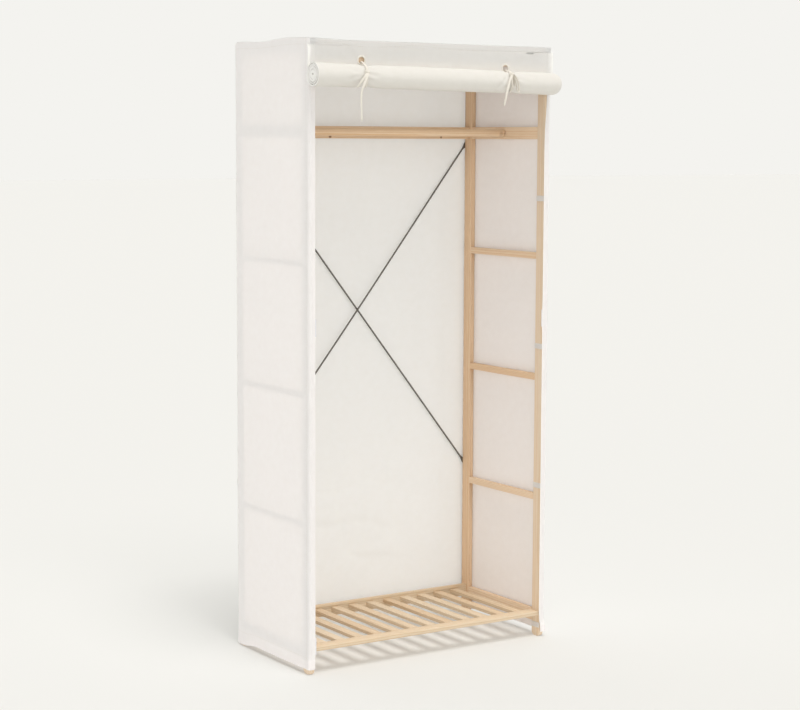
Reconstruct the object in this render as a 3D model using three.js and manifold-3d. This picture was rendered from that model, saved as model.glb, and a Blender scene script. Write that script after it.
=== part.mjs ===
// Portable fabric wardrobe: a pine ladder frame inside a sewn cloth cover with a roll-up door.
// Millimetres, +Z up, front towards -Y, origin on the floor under the middle of the whole object.
import * as THREE from "three";
import { mergeVertices } from "three/addons/utils/BufferGeometryUtils.js";
import Module from "manifold-3d";

const wasm = await Module();
wasm.setup();

// The cloth cover
const coverWidth = 795;
const coverDepth = 406;
const coverHeight = 1700;
const clothThick = 1.2;
const clothFold = 2; // how far the walls billow out between the posts
const foldShare = 0.6; // share of that billow that comes and goes with the folds
const wallFolds = 4; // soft folds across a side wall
const backFolds = 7; // soft folds across the back wall
const foldLeanShare = 0.3; // how far the folds wander sideways over the height, in folds
const roofSag = 4;
const hemHeight = 15; // the cover ends this far above the floor
const bandHeight = 17; // strip between the roof and the door's seam
const flangeWidth = 17; // edge of the cover that is folded round a front post
const flangeWave = 0.7;
const flangeWaves = 5;

// Gap between pieces that touch, and how far a cut runs past a surface
const seat = 0.3;
const overrun = 1;

// The pine frame
const postThick = 14;
const postDepth = 35;
const footRadius = 12;
const railHeight = 35;
const rungHeight = 18.5;
const rungCount = 3;
const lowerRailTop = 77.5;
const upperRailDrop = 221.5; // from the posts' tops down to the upper rails
const topRailDrop = 20; // from the posts' tops down to the front and back top rails
const topRailRecess = 3; // from the front posts' faces back to the front top rail
const tenonLength = 8;
const tenonThick = 6;
const tenonShoulder = 3;

// The garment rod
const rodRadius = 10.5;
const spigotRadius = 6;

// The slatted shelf
const boardDepth = 35;
const boardThick = 12.5;
const boardTop = 75;
const boardRecess = 3; // from the front posts' faces back to the board
const slatCount = 12;
const slatWidth = 26;
const slatThick = 10;
const rearRailRise = 9; // how far the rear rail stands above the slats

// The steel cross brace behind the back posts
const braceRadius = 2.4;
const braceDrop = 11; // from the upper rails down to the brace's upper ends
const braceBottom = 460;
const tabRadius = 6.5;
const tabThick = 2.4;
const braceSteps = 12;

// Hook-and-loop straps that hold the cover to the front posts
const strapHeight = 15.5;
const strapThick = 1.2;
const strapDrop = 0.75; // the lowest strap's distance below the lower rail
const strapRungShares = [0.1, 0.26, 0.47]; // height of the others above a rung, as shares of the pitch

// The rolled-up door
const rollRadius = 32;
const rollTurns = 4.5;
const rollCore = 5; // radius of the hole in the middle of the roll
const rollLayer = 2.2;
const rollOverhang = 7.5; // how far the roll reaches past the cover on each side
const rollDrop = 81.5; // from the door's seam down to the middle of the roll's axis
const rollDroop = 11; // how much lower its right end hangs than its left end
const rollSteps = 10; // facets in one turn
const doorSideGap = 3; // how much narrower than the roll the hanging part is, on each side
const rollFloorGap = 20; // clearance under the roll when the door is let down

// Eyelets and ties that hold the roll up
const eyeletInset = 161.5; // distance of each eyelet from the cover's side
const eyeletAbove = 45; // height of an eyelet above the roll's axis
const eyeletBore = 9;
const eyeletBarrel = 1;
const eyeletFlange = 4.5;
const eyeletRim = 0.8;
const tieWide = 7;
const tieThick = 1;
const tieSlack = 1.2;
const tieSlant = 20; // how far each tie leans to the left between its eyelet and its knot
const cinchDepth = 5; // how much a tie narrows the roll
const cinchReach = 18; // distance along the roll over which the narrowing fades
const cinchStationShares = [-2.4, -1.1, 0, 1.1, 2.4]; // the roll's sections near a tie, in reaches
const knotWide = 6.5;
const knotDeep = 4;
const knotHigh = 5.5;
const knotAngleShare = 0.05; // the knot's place on the roll, as a share of a turn above the front
const loopUpperShares = [0, 0.11, 0.2]; // a tie's course up round the roll's front, in turns
const loopLowerShares = [-0.36, -0.25, -0.12]; // its course under the roll, in turns
const loopSlackShares = [1.02, 1.08]; // its distance from the axis where it leaves the roll, over and under
const eyeletPassShares = [0.5, 0.33, 0.8, 1.6]; // how far it runs below the eyelet's middle, in bores
const strandOut = 7; // how far the loose ends stand in front of the knot's middle
const tailDropShares = [0.125, 0.5, 1]; // points down a loose end
const tailAsideShares = [0.25, 0.8, 1];
const bowDeep = 4; // distance between the two strands of a bow's loop
const bowDropShares = [0.125, 0.7, 1, 0.7, 0.25]; // points round a bow's loop
const bowAsideShares = [0.33, 1, 1, 1, 0.33];
const bowOutShares = [0.5, 1, 0.5, 0, -0.5];
const leftShortDrop = 38;
const leftShortAside = 34; // how far it hangs to the left of the knot
const leftLongDrop = 125;
const leftLongAside = 16;
const rightTailDrop = 81;
const rightTailAside = 37;
const bowInnerDrop = 32;
const bowInnerAside = 5;
const bowOuterDrop = 44;
const bowOuterAside = 16; // how far it hangs to the right of the knot

// Facets: round pieces, arcs, and the grids of the cloth pieces across and up
const roundSides = 20;
const arcSides = 5;
const knotSides = 12;
const strandSteps = 12;
const loopSteps = 60;
const wallGrid = [12, 10];
const flangeGrid = [2, 20];
const backGrid = [21, 8];
const roofGrid = [10, 6];
const panelGrid = [12, 3];

// Planes that the pieces share
const sideInner = coverWidth / 2 - clothFold - clothThick;
const frameSide = sideInner - seat;
const postInner = frameSide - postThick;
const postMid = frameSide - postThick / 2;
const doorOuter = -coverDepth / 2;
const doorInner = doorOuter + clothThick;
const flangeInner = doorInner + seat + flangeWave + clothThick;
const frameFront = flangeInner + seat;
const backInner = coverDepth / 2 - clothFold - clothThick;
const frameBack = backInner - 2 * seat - 2 * braceRadius;
const frontPostY = frameFront + postDepth / 2;
const backPostY = frameBack - postDepth / 2;
const ladderFront = frameFront + postDepth;
const ladderBack = frameBack - postDepth;
const wallTop = coverHeight - clothThick - seat;
const frameTop = wallTop;
const seamHeight = coverHeight - bandHeight;
const topRailMid = frameTop - topRailDrop - railHeight / 2;
const upperRailMid = frameTop - upperRailDrop - railHeight / 2;
const lowerRailMid = lowerRailTop - railHeight / 2;
const rungPitch = (upperRailMid - lowerRailMid) / (rungCount + 1);
const boardFront = frameFront + boardRecess;
const boardRear = boardFront + boardDepth;
const boardTenonWide = postDepth - 2 * (tenonLength + tenonShoulder);
const rearRailMid = boardTop + rearRailRise - railHeight / 2;
const rearRailFront = backPostY - postThick / 2;
const braceTop = upperRailMid - railHeight / 2 - braceDrop;
const slatGap = (2 * postInner - slatCount * slatWidth) / (slatCount + 1);
const rollLength = coverWidth + 2 * rollOverhang;
const rollHeight = seamHeight - rollDrop;
const rollAxisY = doorOuter - seat - rollRadius;
const rollPitch = (rollRadius - rollCore) / rollTurns;
const eyeletSpread = coverWidth / 2 - eyeletInset;

// Finishes
const finish = (color, roughness, metalness = 0) =>
  new THREE.MeshStandardMaterial({ color, roughness, metalness });
const pine = finish(0xd7a873, 0.6);
const pineDark = finish(0xc08a55, 0.65);
const cloth = finish(0xe9e4da, 0.95);
const clothDoor = finish(0xece7dd, 0.95);
const steel = finish(0x6b675e, 0.45, 0.9);
const tape = finish(0xeeeaee, 0.9);
const cord = finish(0xefe8d8, 0.9);
const ringPlastic = finish(0xe6dfd0, 0.5);

const wardrobe = new THREE.Group();
const frame = new THREE.Group();
const cover = new THREE.Group();
const door = new THREE.Group();
wardrobe.add(frame, cover, door);

// Adds a named piece to a group, at a place
function add(group, name, geometry, material, x = 0, y = 0, z = 0) {
  geometry.computeVertexNormals();
  const mesh = new THREE.Mesh(geometry, material);
  mesh.name = name;
  mesh.position.set(x, y, z);
  group.add(mesh);
  return mesh;
}

// Turns a closed geometry into a solid that can be joined and cut
function solid(geometry) {
  const bare = geometry.clone();
  bare.deleteAttribute("normal");
  bare.deleteAttribute("uv");
  const merged = mergeVertices(bare);
  const vertProperties = new Float32Array(merged.attributes.position.array);
  const triVerts = new Uint32Array(merged.index.array);
  return new wasm.Manifold(new wasm.Mesh({ numProp: 3, vertProperties, triVerts }));
}

// Turns a solid back into a geometry
function geometryOf(body) {
  const { vertProperties, triVerts } = body.getMesh();
  const geometry = new THREE.BufferGeometry();
  geometry.setAttribute("position", new THREE.BufferAttribute(vertProperties, 3));
  geometry.setIndex(new THREE.BufferAttribute(triVerts, 1));
  return geometry;
}

const block = (sizeX, sizeY, sizeZ, x = 0, y = 0, z = 0) =>
  solid(new THREE.BoxGeometry(sizeX, sizeY, sizeZ).translate(x, y, z));

// A round bar from the radii and stations of its profile, with its axis along X
function turned(profile) {
  const points = profile.map(([radius, along]) => new THREE.Vector2(radius, along));
  return new THREE.LatheGeometry(points, roundSides).rotateZ(-Math.PI / 2);
}

// The volume that a closed indexed geometry holds, negative if it is inside out
function signedVolume(positions, index) {
  const corner = (n) => new THREE.Vector3().fromArray(positions, 3 * index[n]);
  let volume = 0;
  for (let n = 0; n < index.length; n += 3) {
    volume += corner(n).dot(corner(n + 1).cross(corner(n + 2))) / 6;
  }
  return volume;
}

// A closed sheet of cloth: point(u, v, side) places its inner face at side 0, its outer at side 1
function sheet(columns, rows, point) {
  const positions = [];
  for (const side of [0, 1]) {
    for (let j = 0; j <= rows; j++) {
      for (let i = 0; i <= columns; i++) {
        positions.push(...point(i / columns, j / rows, side));
      }
    }
  }
  const at = (i, j, side) => (side * (rows + 1) + j) * (columns + 1) + i;
  const index = [];
  const quad = (a, b, c, d) => index.push(a, b, c, a, c, d);
  for (let j = 0; j < rows; j++) {
    for (let i = 0; i < columns; i++) {
      quad(at(i, j, 1), at(i + 1, j, 1), at(i + 1, j + 1, 1), at(i, j + 1, 1));
      quad(at(i, j, 0), at(i, j + 1, 0), at(i + 1, j + 1, 0), at(i + 1, j, 0));
    }
  }
  const rim = [];
  for (let i = 0; i < columns; i++) rim.push([i, 0]);
  for (let j = 0; j < rows; j++) rim.push([columns, j]);
  for (let i = columns; i > 0; i--) rim.push([i, rows]);
  for (let j = rows; j > 0; j--) rim.push([0, j]);
  rim.forEach(([i, j], n) => {
    const [k, l] = rim[(n + 1) % rim.length];
    quad(at(i, j, 0), at(k, l, 0), at(k, l, 1), at(i, j, 1));
  });
  if (signedVolume(positions, index) < 0) index.reverse();
  const geometry = new THREE.BufferGeometry();
  geometry.setAttribute("position", new THREE.Float32BufferAttribute(positions, 3));
  geometry.setIndex(index);
  return geometry;
}

// A piece of wood along X with a stub tenon at both ends, centred on its own middle
function timber(length, thick, high, tenonWide, tenonHigh, tenonY = 0) {
  const body = block(length - 2 * seat, thick, high);
  return body.add(block(length + 2 * tenonLength, tenonWide, tenonHigh, 0, tenonY));
}

// The cut for a stub tenon that enters a face at x, y, z along the named axis
function mortise(axis, x, y, z, wide, high) {
  const deep = 2 * (tenonLength + seat);
  const slotWide = wide + 2 * seat;
  const slotHigh = high + 2 * seat;
  return axis === "x"
    ? block(deep, slotWide, slotHigh, x, y, z)
    : block(slotWide, deep, slotHigh, x, y, z);
}

const tenonOf = (height) => height - 2 * tenonShoulder;

// Members of a side ladder, each between the front and the back post
const ladder = [
  { name: "lower_rail", z: lowerRailMid, high: railHeight },
  ...Array.from({ length: rungCount }, (_, n) => ({
    name: `rung_${n + 1}`,
    z: lowerRailMid + (n + 1) * rungPitch,
    high: rungHeight,
  })),
  { name: "upper_rail", z: upperRailMid, high: railHeight },
  { name: "top_rail", z: frameTop - railHeight / 2, high: railHeight },
];

// Rails across the width, each between two posts
const frontRailY = frameFront + topRailRecess + postThick / 2;
const crossRails = [
  { name: "front_top_rail", y: frontRailY, z: topRailMid },
  { name: "back_top_rail", y: backPostY, z: topRailMid },
  { name: "back_upper_rail", y: backPostY, z: upperRailMid },
  { name: "shelf_rear_rail", y: backPostY, z: rearRailMid },
];

const slatTenonWide = slatWidth - 2 * tenonShoulder;
const slatMid = boardTop - slatThick / 2;
const slatX = Array.from({ length: slatCount }, (_, n) => (
  -postInner + slatGap + slatWidth / 2 + n * (slatWidth + slatGap)
));

// A post's side view: straight edges with a rounded foot
function postOutline() {
  const half = postDepth / 2;
  const shape = new THREE.Shape();
  shape.moveTo(half, frameTop);
  shape.lineTo(-half, frameTop);
  shape.absarc(footRadius - half, footRadius, footRadius, Math.PI, 1.5 * Math.PI);
  shape.absarc(half - footRadius, footRadius, footRadius, 1.5 * Math.PI, 2 * Math.PI);
  return shape;
}

function makePosts() {
  const outline = new THREE.ExtrudeGeometry(postOutline(), {
    depth: postThick,
    bevelEnabled: false,
    curveSegments: arcSides,
  });
  const plain = solid(outline.translate(0, 0, -postThick / 2).rotateX(Math.PI / 2).rotateZ(Math.PI / 2));
  for (const [end, y, ladderFace] of [
    ["front", frontPostY, ladderFront],
    ["back", backPostY, ladderBack],
  ]) {
    for (const [side, sign] of [["left", -1], ["right", 1]]) {
      let post = plain.translate(sign * postMid, y, 0);
      for (const { z, high } of ladder) {
        post = post.subtract(mortise("y", sign * postMid, ladderFace, z, tenonThick, tenonOf(high)));
      }
      for (const rail of crossRails.filter((rail) => Math.abs(rail.y - y) < postDepth / 2)) {
        post = post.subtract(
          mortise("x", sign * postInner, rail.y, rail.z, tenonThick, tenonOf(railHeight)),
        );
      }
      if (end === "front") {
        const z = boardTop - boardThick / 2;
        post = post.subtract(mortise("x", sign * postInner, frontPostY, z, boardTenonWide, tenonThick));
      }
      add(frame, `post_${end}_${side}`, geometryOf(post.translate(-sign * postMid, -y, 0)), pine,
        sign * postMid, y, 0);
    }
  }
}

function makeLadders() {
  const length = ladderBack - ladderFront;
  const middle = (ladderBack + ladderFront) / 2;
  for (const [side, sign] of [["left", -1], ["right", 1]]) {
    for (const { name, z, high } of ladder) {
      let member = timber(length, postThick, high, tenonThick, tenonOf(high)).rotate([0, 0, 90]);
      if (name === "upper_rail") {
        const reach = postThick / 2 + overrun;
        const depth = tenonLength + seat + overrun;
        const hole = turned([
          [0, 0],
          [spigotRadius + seat, 0],
          [spigotRadius + seat, depth],
          [0, depth],
        ]);
        hole.translate(-reach, -middle, 0).scale(sign, 1, 1);
        member = member.subtract(solid(sign < 0 ? flipped(hole) : hole));
      }
      add(frame, `${side}_${name}`, geometryOf(member), name.includes("rung") ? pine : pineDark,
        sign * postMid, middle, z);
    }
  }
}

// The same geometry with its faces turned round, after a mirror
function flipped(geometry) {
  const copy = geometry.clone();
  copy.index.array.reverse();
  return copy;
}

function makeCrossRails() {
  for (const { name, y, z } of crossRails) {
    let rail = timber(2 * postInner, postThick, railHeight, tenonThick, tenonOf(railHeight));
    if (name === "shelf_rear_rail") {
      for (const x of slatX) {
        rail = rail.subtract(
          mortise("y", x, rearRailFront - y, slatMid - z, slatTenonWide, tenonThick),
        );
      }
    }
    add(frame, name, geometryOf(rail), pine, 0, y, z);
  }
}

function makeGarmentRod() {
  const half = postInner - seat;
  const tip = postInner + tenonLength;
  const rod = turned([
    [0, -tip],
    [spigotRadius, -tip],
    [spigotRadius, -half],
    [rodRadius, -half],
    [rodRadius, half],
    [spigotRadius, half],
    [spigotRadius, tip],
    [0, tip],
  ]);
  add(frame, "garment_rod", rod, pine, 0, 0, upperRailMid);
}

function makeShelf() {
  const y = (boardFront + boardRear) / 2;
  const z = boardTop - boardThick / 2;
  let board = timber(2 * postInner, boardDepth, boardThick, boardTenonWide, tenonThick, frontPostY - y);
  for (const x of slatX) {
    board = board.subtract(mortise("y", x, boardRear - y, slatMid - z, slatTenonWide, tenonThick));
  }
  add(frame, "shelf_front_board", geometryOf(board), pine, 0, y, z);
  const length = rearRailFront - boardRear;
  const slat = timber(length, slatWidth, slatThick, slatTenonWide, tenonThick).rotate([0, 0, 90]);
  slatX.forEach((x, n) => {
    const name = `shelf_slat_${String(n + 1).padStart(2, "0")}`;
    add(frame, name, geometryOf(slat), pine, x, boardRear + length / 2, slatMid);
  });
}

// A brace rod runs corner to corner behind the posts; one of the two bows forward to pass the other
function makeBrace() {
  const y = frameBack + seat + braceRadius;
  for (const [name, sign, bow] of [
    ["brace_rod_rising", 1, 2 * braceRadius + seat],
    ["brace_rod_falling", -1, 0],
  ]) {
    const low = new THREE.Vector3(-sign * postMid, y, braceBottom);
    const high = new THREE.Vector3(sign * postMid, y, braceTop);
    const points = Array.from({ length: braceSteps + 1 }, (_, n) => {
      const share = n / braceSteps;
      const point = low.clone().lerp(high, share);
      point.y -= bow * Math.sin(Math.PI * share) ** 2;
      return point;
    });
    const section = new THREE.Shape().absarc(0, 0, braceRadius, 0, 2 * Math.PI);
    const rod = solid(new THREE.ExtrudeGeometry(section, {
      steps: bow ? braceSteps : 1,
      curveSegments: arcSides,
      extrudePath: bow ? new THREE.CatmullRomCurve3(points) : new THREE.LineCurve3(low, high),
    }));
    const tab = solid(new THREE.CylinderGeometry(tabRadius, tabRadius, tabThick, roundSides));
    const tabY = frameBack + seat + tabThick / 2;
    const joined = rod.add(tab.translate(low.x, tabY, low.z)).add(tab.translate(high.x, tabY, high.z));
    add(frame, name, geometryOf(joined), steel);
  }
}

const swell = (share) => Math.sin(Math.PI * share);
const ripple = (folds, share) => (1 - Math.cos(2 * Math.PI * folds * share)) / 2;
const mix = THREE.MathUtils.lerp;

// How far a wall stands out at a share of its width and height
function wallFold(folds, u, v) {
  const crease = ripple(folds, u + (foldLeanShare / folds) * Math.sin(2 * Math.PI * v));
  return clothFold * swell(u) * swell(v) * (1 - foldShare + foldShare * crease);
}

function makeCover() {
  const front = flangeInner - clothThick;
  for (const [side, sign] of [["left", -1], ["right", 1]]) {
    add(cover, `cover_${side}_wall`, sheet(...wallGrid, (u, v, face) => [
      sign * (sideInner + face * clothThick + wallFold(wallFolds, u, v)),
      mix(front, backInner - seat, u),
      mix(hemHeight, wallTop, v),
    ]), cloth);
    add(cover, `cover_${side}_flange`, sheet(...flangeGrid, (u, v, face) => [
      sign * (sideInner - seat - u * flangeWidth),
      flangeInner - face * clothThick - flangeWave * u * ripple(flangeWaves, v),
      mix(hemHeight, wallTop, v),
    ]), cloth);
  }
  const half = sideInner + clothThick;
  add(cover, "cover_back_wall", sheet(...backGrid, (u, v, face) => [
    mix(-half, half, u),
    backInner + face * clothThick + wallFold(backFolds, u, v),
    mix(hemHeight, wallTop, v),
  ]), cloth);
  add(cover, "cover_roof", sheet(...roofGrid, (u, v, face) => [
    mix(-half, half, u),
    mix(doorOuter, backInner + clothThick, v),
    coverHeight - (1 - face) * clothThick - roofSag * (swell(u) * swell(v)) ** 2,
  ]), cloth);
  add(cover, "cover_front_band", geometryOf(block(2 * half, clothThick, wallTop - seamHeight)), cloth,
    0, (doorOuter + doorInner) / 2, (wallTop + seamHeight) / 2);
}

// Each strap crosses a front post's inner and rear faces, between the flange and the side wall
function makeStraps() {
  const heights = [
    lowerRailTop - railHeight - strapDrop - strapHeight / 2,
    ...strapRungShares.map((share, n) => lowerRailMid + (n + 1 + share) * rungPitch),
  ];
  for (const [side, sign] of [["left", -1], ["right", 1]]) {
    const near = postInner - seat;
    const rear = ladderFront + seat;
    const outline = new THREE.Shape([
      new THREE.Vector2(sign * near, frameFront),
      new THREE.Vector2(sign * (near - strapThick), frameFront),
      new THREE.Vector2(sign * (near - strapThick), rear + strapThick),
      new THREE.Vector2(sign * (sideInner - seat), rear + strapThick),
      new THREE.Vector2(sign * (sideInner - seat), rear),
      new THREE.Vector2(sign * near, rear),
    ]);
    heights.forEach((z, n) => {
      const strap = new THREE.ExtrudeGeometry(outline, { depth: strapHeight, bevelEnabled: false });
      add(cover, `strap_${side}_${n + 1}`, strap.translate(0, 0, -strapHeight / 2), tape, 0, 0, z);
    });
  }
}

const axisHeight = (x) => rollHeight - (rollDroop * x) / rollLength;
const forwardShare = (y) => (doorOuter - y) / (2 * rollRadius);

// Stations of the roll's cross sections, closer together where a tie draws it in
function rollStations() {
  const stations = [-rollLength / 2];
  for (const sign of [-1, 1]) {
    const middle = sign * eyeletSpread - tieSlant / 2;
    for (const share of cinchStationShares) stations.push(middle + share * cinchReach);
  }
  return [...stations, rollLength / 2];
}

// A point of the wound cloth: turn counts from the back, down, round the front and over the top
function rollPoint(x, turn, face) {
  const angle = 2 * Math.PI * turn;
  let cinch = 0;
  let lean = 0;
  for (const sign of [-1, 1]) {
    const away = (x - sign * eyeletSpread + tieSlant / 2) / cinchReach;
    cinch += Math.exp(-away * away);
    lean += Math.exp((-away * away) / 4);
  }
  const shrink = 1 - (cinchDepth / rollRadius) * cinch;
  const radius = (rollRadius - rollPitch * turn - (1 - face) * rollLayer) * shrink;
  const y = rollAxisY + radius * Math.cos(angle);
  const z = axisHeight(x) - radius * Math.sin(angle);
  return [x - tieSlant * (forwardShare(y) - 0.5) * lean, y, z];
}

// The least gap between a layer's inner face and the next layer's outer face, taken on points
function leastRollGap() {
  let least = Infinity;
  for (const x of rollStations()) {
    for (let n = 0; n <= (rollTurns - 1) * rollSteps; n++) {
      const inner = new THREE.Vector3(...rollPoint(x, n / rollSteps, 0));
      const next = new THREE.Vector3(...rollPoint(x, n / rollSteps + 1, 1));
      least = Math.min(least, inner.distanceTo(next));
    }
  }
  return least;
}

function makeDoor() {
  const stations = rollStations();
  const steps = Math.round(rollTurns * rollSteps);
  const rows = stations.length - 1;
  add(door, "door_roll", sheet(steps, rows, (u, v, face) => (
    rollPoint(stations[Math.round(v * rows)], u * rollTurns, face)
  )), clothDoor);
  console.log(`least gap in the roll: ${leastRollGap().toFixed(2)} mm`);
  const lowest = axisHeight(rollLength / 2) - rollRadius;
  console.log(`the roll can come down by ${(lowest - rollFloorGap).toFixed(1)} mm`);

  const half = rollLength / 2 - doorSideGap;
  let panel = solid(sheet(...panelGrid, (u, v, face) => {
    const x = mix(-half, half, u);
    return [x, doorInner - face * clothThick, mix(axisHeight(x), seamHeight - seat, v)];
  }));
  for (const sign of [-1, 1]) {
    const hole = new THREE.CylinderGeometry(
      eyeletBore + eyeletBarrel + seat,
      eyeletBore + eyeletBarrel + seat,
      clothThick + 2 * overrun,
      roundSides,
    );
    const x = sign * eyeletSpread;
    panel = panel.subtract(solid(hole).translate(x, (doorInner + doorOuter) / 2, eyeletHeight(x)));
  }
  add(door, "door_hanging_panel", geometryOf(panel), clothDoor);
}

const eyeletHeight = (x) => axisHeight(x) + eyeletAbove;

// An eyelet is a short barrel with a flange in front of the cloth and one behind it
function makeEyelets() {
  const barrel = clothThick / 2 + seat;
  const edge = barrel + eyeletRim;
  const wide = eyeletBore + eyeletFlange;
  const profile = [
    [eyeletBore, -edge],
    [wide, -edge],
    [wide, -barrel],
    [eyeletBore + eyeletBarrel, -barrel],
    [eyeletBore + eyeletBarrel, barrel],
    [wide, barrel],
    [wide, edge],
    [eyeletBore, edge],
    [eyeletBore, -edge],
  ];
  for (const [side, sign] of [["left", -1], ["right", 1]]) {
    const ring = geometryOf(solid(turned(profile).rotateZ(Math.PI / 2)));
    const x = sign * eyeletSpread;
    add(door, `eyelet_${side}`, ring, ringPlastic, x, (doorInner + doorOuter) / 2, eyeletHeight(x));
  }
}

// A flat tape along a path, with its width along X
function ribbon(points) {
  const across = new THREE.Vector3(1, 0, 0);
  const path = new THREE.CatmullRomCurve3(points.map((point) => new THREE.Vector3(...point)));
  return solid(sheet(strandSteps, 1, (u, v, face) => {
    const normal = path.getTangentAt(u).cross(across).normalize();
    const point = path.getPointAt(u).addScaledVector(across, (v - 0.5) * tieWide);
    return point.addScaledVector(normal, (face - 0.5) * tieThick).toArray();
  }));
}

// A loose end that leaves the knot forward and hangs down to one side
const tail = (drop, aside) => ribbon([
  [0, 0, 0],
  ...tailDropShares.map((share, n) => [tailAsideShares[n] * aside, -strandOut, -share * drop]),
]);

// A loop of a bow that hangs down from the knot and comes back behind itself
const bow = (drop, aside) => ribbon([
  [0, -tieThick, knotHigh / 4],
  ...bowDropShares.map((share, n) => [
    bowAsideShares[n] * aside,
    -strandOut - bowOutShares[n] * bowDeep,
    -share * drop,
  ]),
  [0, tieThick, -knotHigh / 4],
]);

// The closed loop of a tie: through the eyelet, over and round the roll, and up behind the cloth
function tieLoop(x) {
  const reach = rollRadius - cinchDepth + tieSlack + tieThick / 2;
  const axis = axisHeight(x);
  const behind = doorInner + 2 * seat + eyeletRim + tieThick / 2;
  const across = (turnShare, slackShare = 1) => [
    rollAxisY - slackShare * reach * Math.cos(2 * Math.PI * turnShare),
    axis + slackShare * reach * Math.sin(2 * Math.PI * turnShare),
  ];
  const [nearShare, insideShare, farShare, belowShare] = eyeletPassShares;
  const below = (share) => eyeletHeight(x) - share * eyeletBore;
  const [front, rising, leaving] = loopUpperShares;
  const [arriving, ...under] = loopLowerShares;
  const [overSlack, underSlack] = loopSlackShares;
  const stops = [
    across(front),
    across(rising),
    across(leaving, overSlack),
    [doorOuter - eyeletBore, below(nearShare)],
    [(doorOuter + doorInner) / 2, below(insideShare)],
    [behind + tieThick / 2, below(farShare)],
    [behind, below(belowShare)],
    [behind, axis],
    [behind, axis - reach / 3],
    across(arriving, underSlack),
    ...under.map((share) => across(share)),
  ];
  const path = new THREE.CatmullRomCurve3(stops.map(([y, z]) => new THREE.Vector3(0, y, z)), true);
  return band(path, loopSteps);
}

// A closed band of tape round a path that lies in a plane square to X
function band(path, steps) {
  const positions = [];
  const index = [];
  for (let n = 0; n < steps; n++) {
    const point = path.getPointAt(n / steps);
    const tangent = path.getTangentAt(n / steps);
    const normal = new THREE.Vector3(0, -tangent.z, tangent.y).multiplyScalar(tieThick / 2);
    for (const [edge, face] of [[-1, -1], [1, -1], [1, 1], [-1, 1]]) {
      const y = point.y + face * normal.y;
      positions.push((edge * tieWide) / 2 - tieSlant * forwardShare(y), y, point.z + face * normal.z);
    }
    for (let k = 0; k < 4; k++) {
      const next = (k + 1) % 4;
      const [a, b] = [4 * n + k, 4 * n + next];
      const [c, d] = [4 * ((n + 1) % steps) + next, 4 * ((n + 1) % steps) + k];
      index.push(a, b, c, a, c, d);
    }
  }
  if (signedVolume(positions, index) < 0) index.reverse();
  const geometry = new THREE.BufferGeometry();
  geometry.setAttribute("position", new THREE.Float32BufferAttribute(positions, 3));
  geometry.setIndex(index);
  return solid(geometry);
}

function makeTies() {
  const strands = {
    left: [tail(leftShortDrop, -leftShortAside), tail(leftLongDrop, -leftLongAside)],
    right: [
      tail(rightTailDrop, -rightTailAside),
      bow(bowInnerDrop, -bowInnerAside),
      bow(bowOuterDrop, bowOuterAside),
    ],
  };
  for (const [side, sign] of [["left", -1], ["right", 1]]) {
    const x = sign * eyeletSpread;
    const reach = rollRadius - cinchDepth + tieSlack + tieThick + knotDeep / 2;
    const angle = 2 * Math.PI * knotAngleShare;
    const y = rollAxisY - reach * Math.cos(angle);
    const place = [-tieSlant * forwardShare(y), y, axisHeight(x) + reach * Math.sin(angle)];
    const ball = new THREE.SphereGeometry(1, knotSides, knotSides / 2);
    const knot = solid(ball.scale(knotWide, knotDeep, knotHigh));
    const knotted = strands[side].reduce((whole, strand) => whole.add(strand), knot);
    const tie = tieLoop(x).add(knotted.translate(...place));
    add(door, `tie_${side}`, geometryOf(tie), cord, x, 0, 0);
  }
}

makePosts();
makeLadders();
makeCrossRails();
makeGarmentRod();
makeShelf();
makeBrace();
makeCover();
makeStraps();
makeDoor();
makeEyelets();
makeTies();

// Puts the origin under the middle of the whole object
const bounds = new THREE.Box3().setFromObject(wardrobe);
const middle = bounds.getCenter(new THREE.Vector3());
wardrobe.position.set(-middle.x, -middle.y, 0);
console.log(`shift to the middle: ${middle.x.toFixed(3)}, ${middle.y.toFixed(3)} mm`);

export default wardrobe;
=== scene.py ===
"""Portable fabric wardrobe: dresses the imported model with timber, cloth, tape and steel for rendering.

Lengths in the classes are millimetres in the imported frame, and every mesh is written in metres.
"""

import logging
import math
import random
from dataclasses import dataclass, field
from enum import Enum
from typing import Any, Iterable, Sequence

import bmesh
import bpy
import numpy as np
from mathutils import Matrix, Vector, noise

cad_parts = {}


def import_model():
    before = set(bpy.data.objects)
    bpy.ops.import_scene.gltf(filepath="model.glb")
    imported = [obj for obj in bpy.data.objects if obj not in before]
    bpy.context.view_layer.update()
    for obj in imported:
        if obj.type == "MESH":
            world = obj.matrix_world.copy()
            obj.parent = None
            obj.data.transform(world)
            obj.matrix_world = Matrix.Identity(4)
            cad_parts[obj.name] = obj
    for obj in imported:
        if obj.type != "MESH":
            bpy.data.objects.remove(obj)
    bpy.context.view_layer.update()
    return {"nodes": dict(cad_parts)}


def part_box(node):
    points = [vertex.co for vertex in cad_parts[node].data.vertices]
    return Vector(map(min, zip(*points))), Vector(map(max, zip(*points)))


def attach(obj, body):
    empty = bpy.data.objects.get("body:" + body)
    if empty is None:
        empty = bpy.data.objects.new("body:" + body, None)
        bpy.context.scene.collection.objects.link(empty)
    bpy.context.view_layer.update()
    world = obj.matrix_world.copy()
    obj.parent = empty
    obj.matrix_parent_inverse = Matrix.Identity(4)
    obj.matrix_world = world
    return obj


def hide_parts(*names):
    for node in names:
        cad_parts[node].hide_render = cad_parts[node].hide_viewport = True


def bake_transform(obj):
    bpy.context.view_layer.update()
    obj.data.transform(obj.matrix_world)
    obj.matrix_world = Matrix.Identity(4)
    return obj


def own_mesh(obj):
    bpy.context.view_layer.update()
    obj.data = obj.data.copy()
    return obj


log = logging.getLogger("wardrobe")

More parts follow.
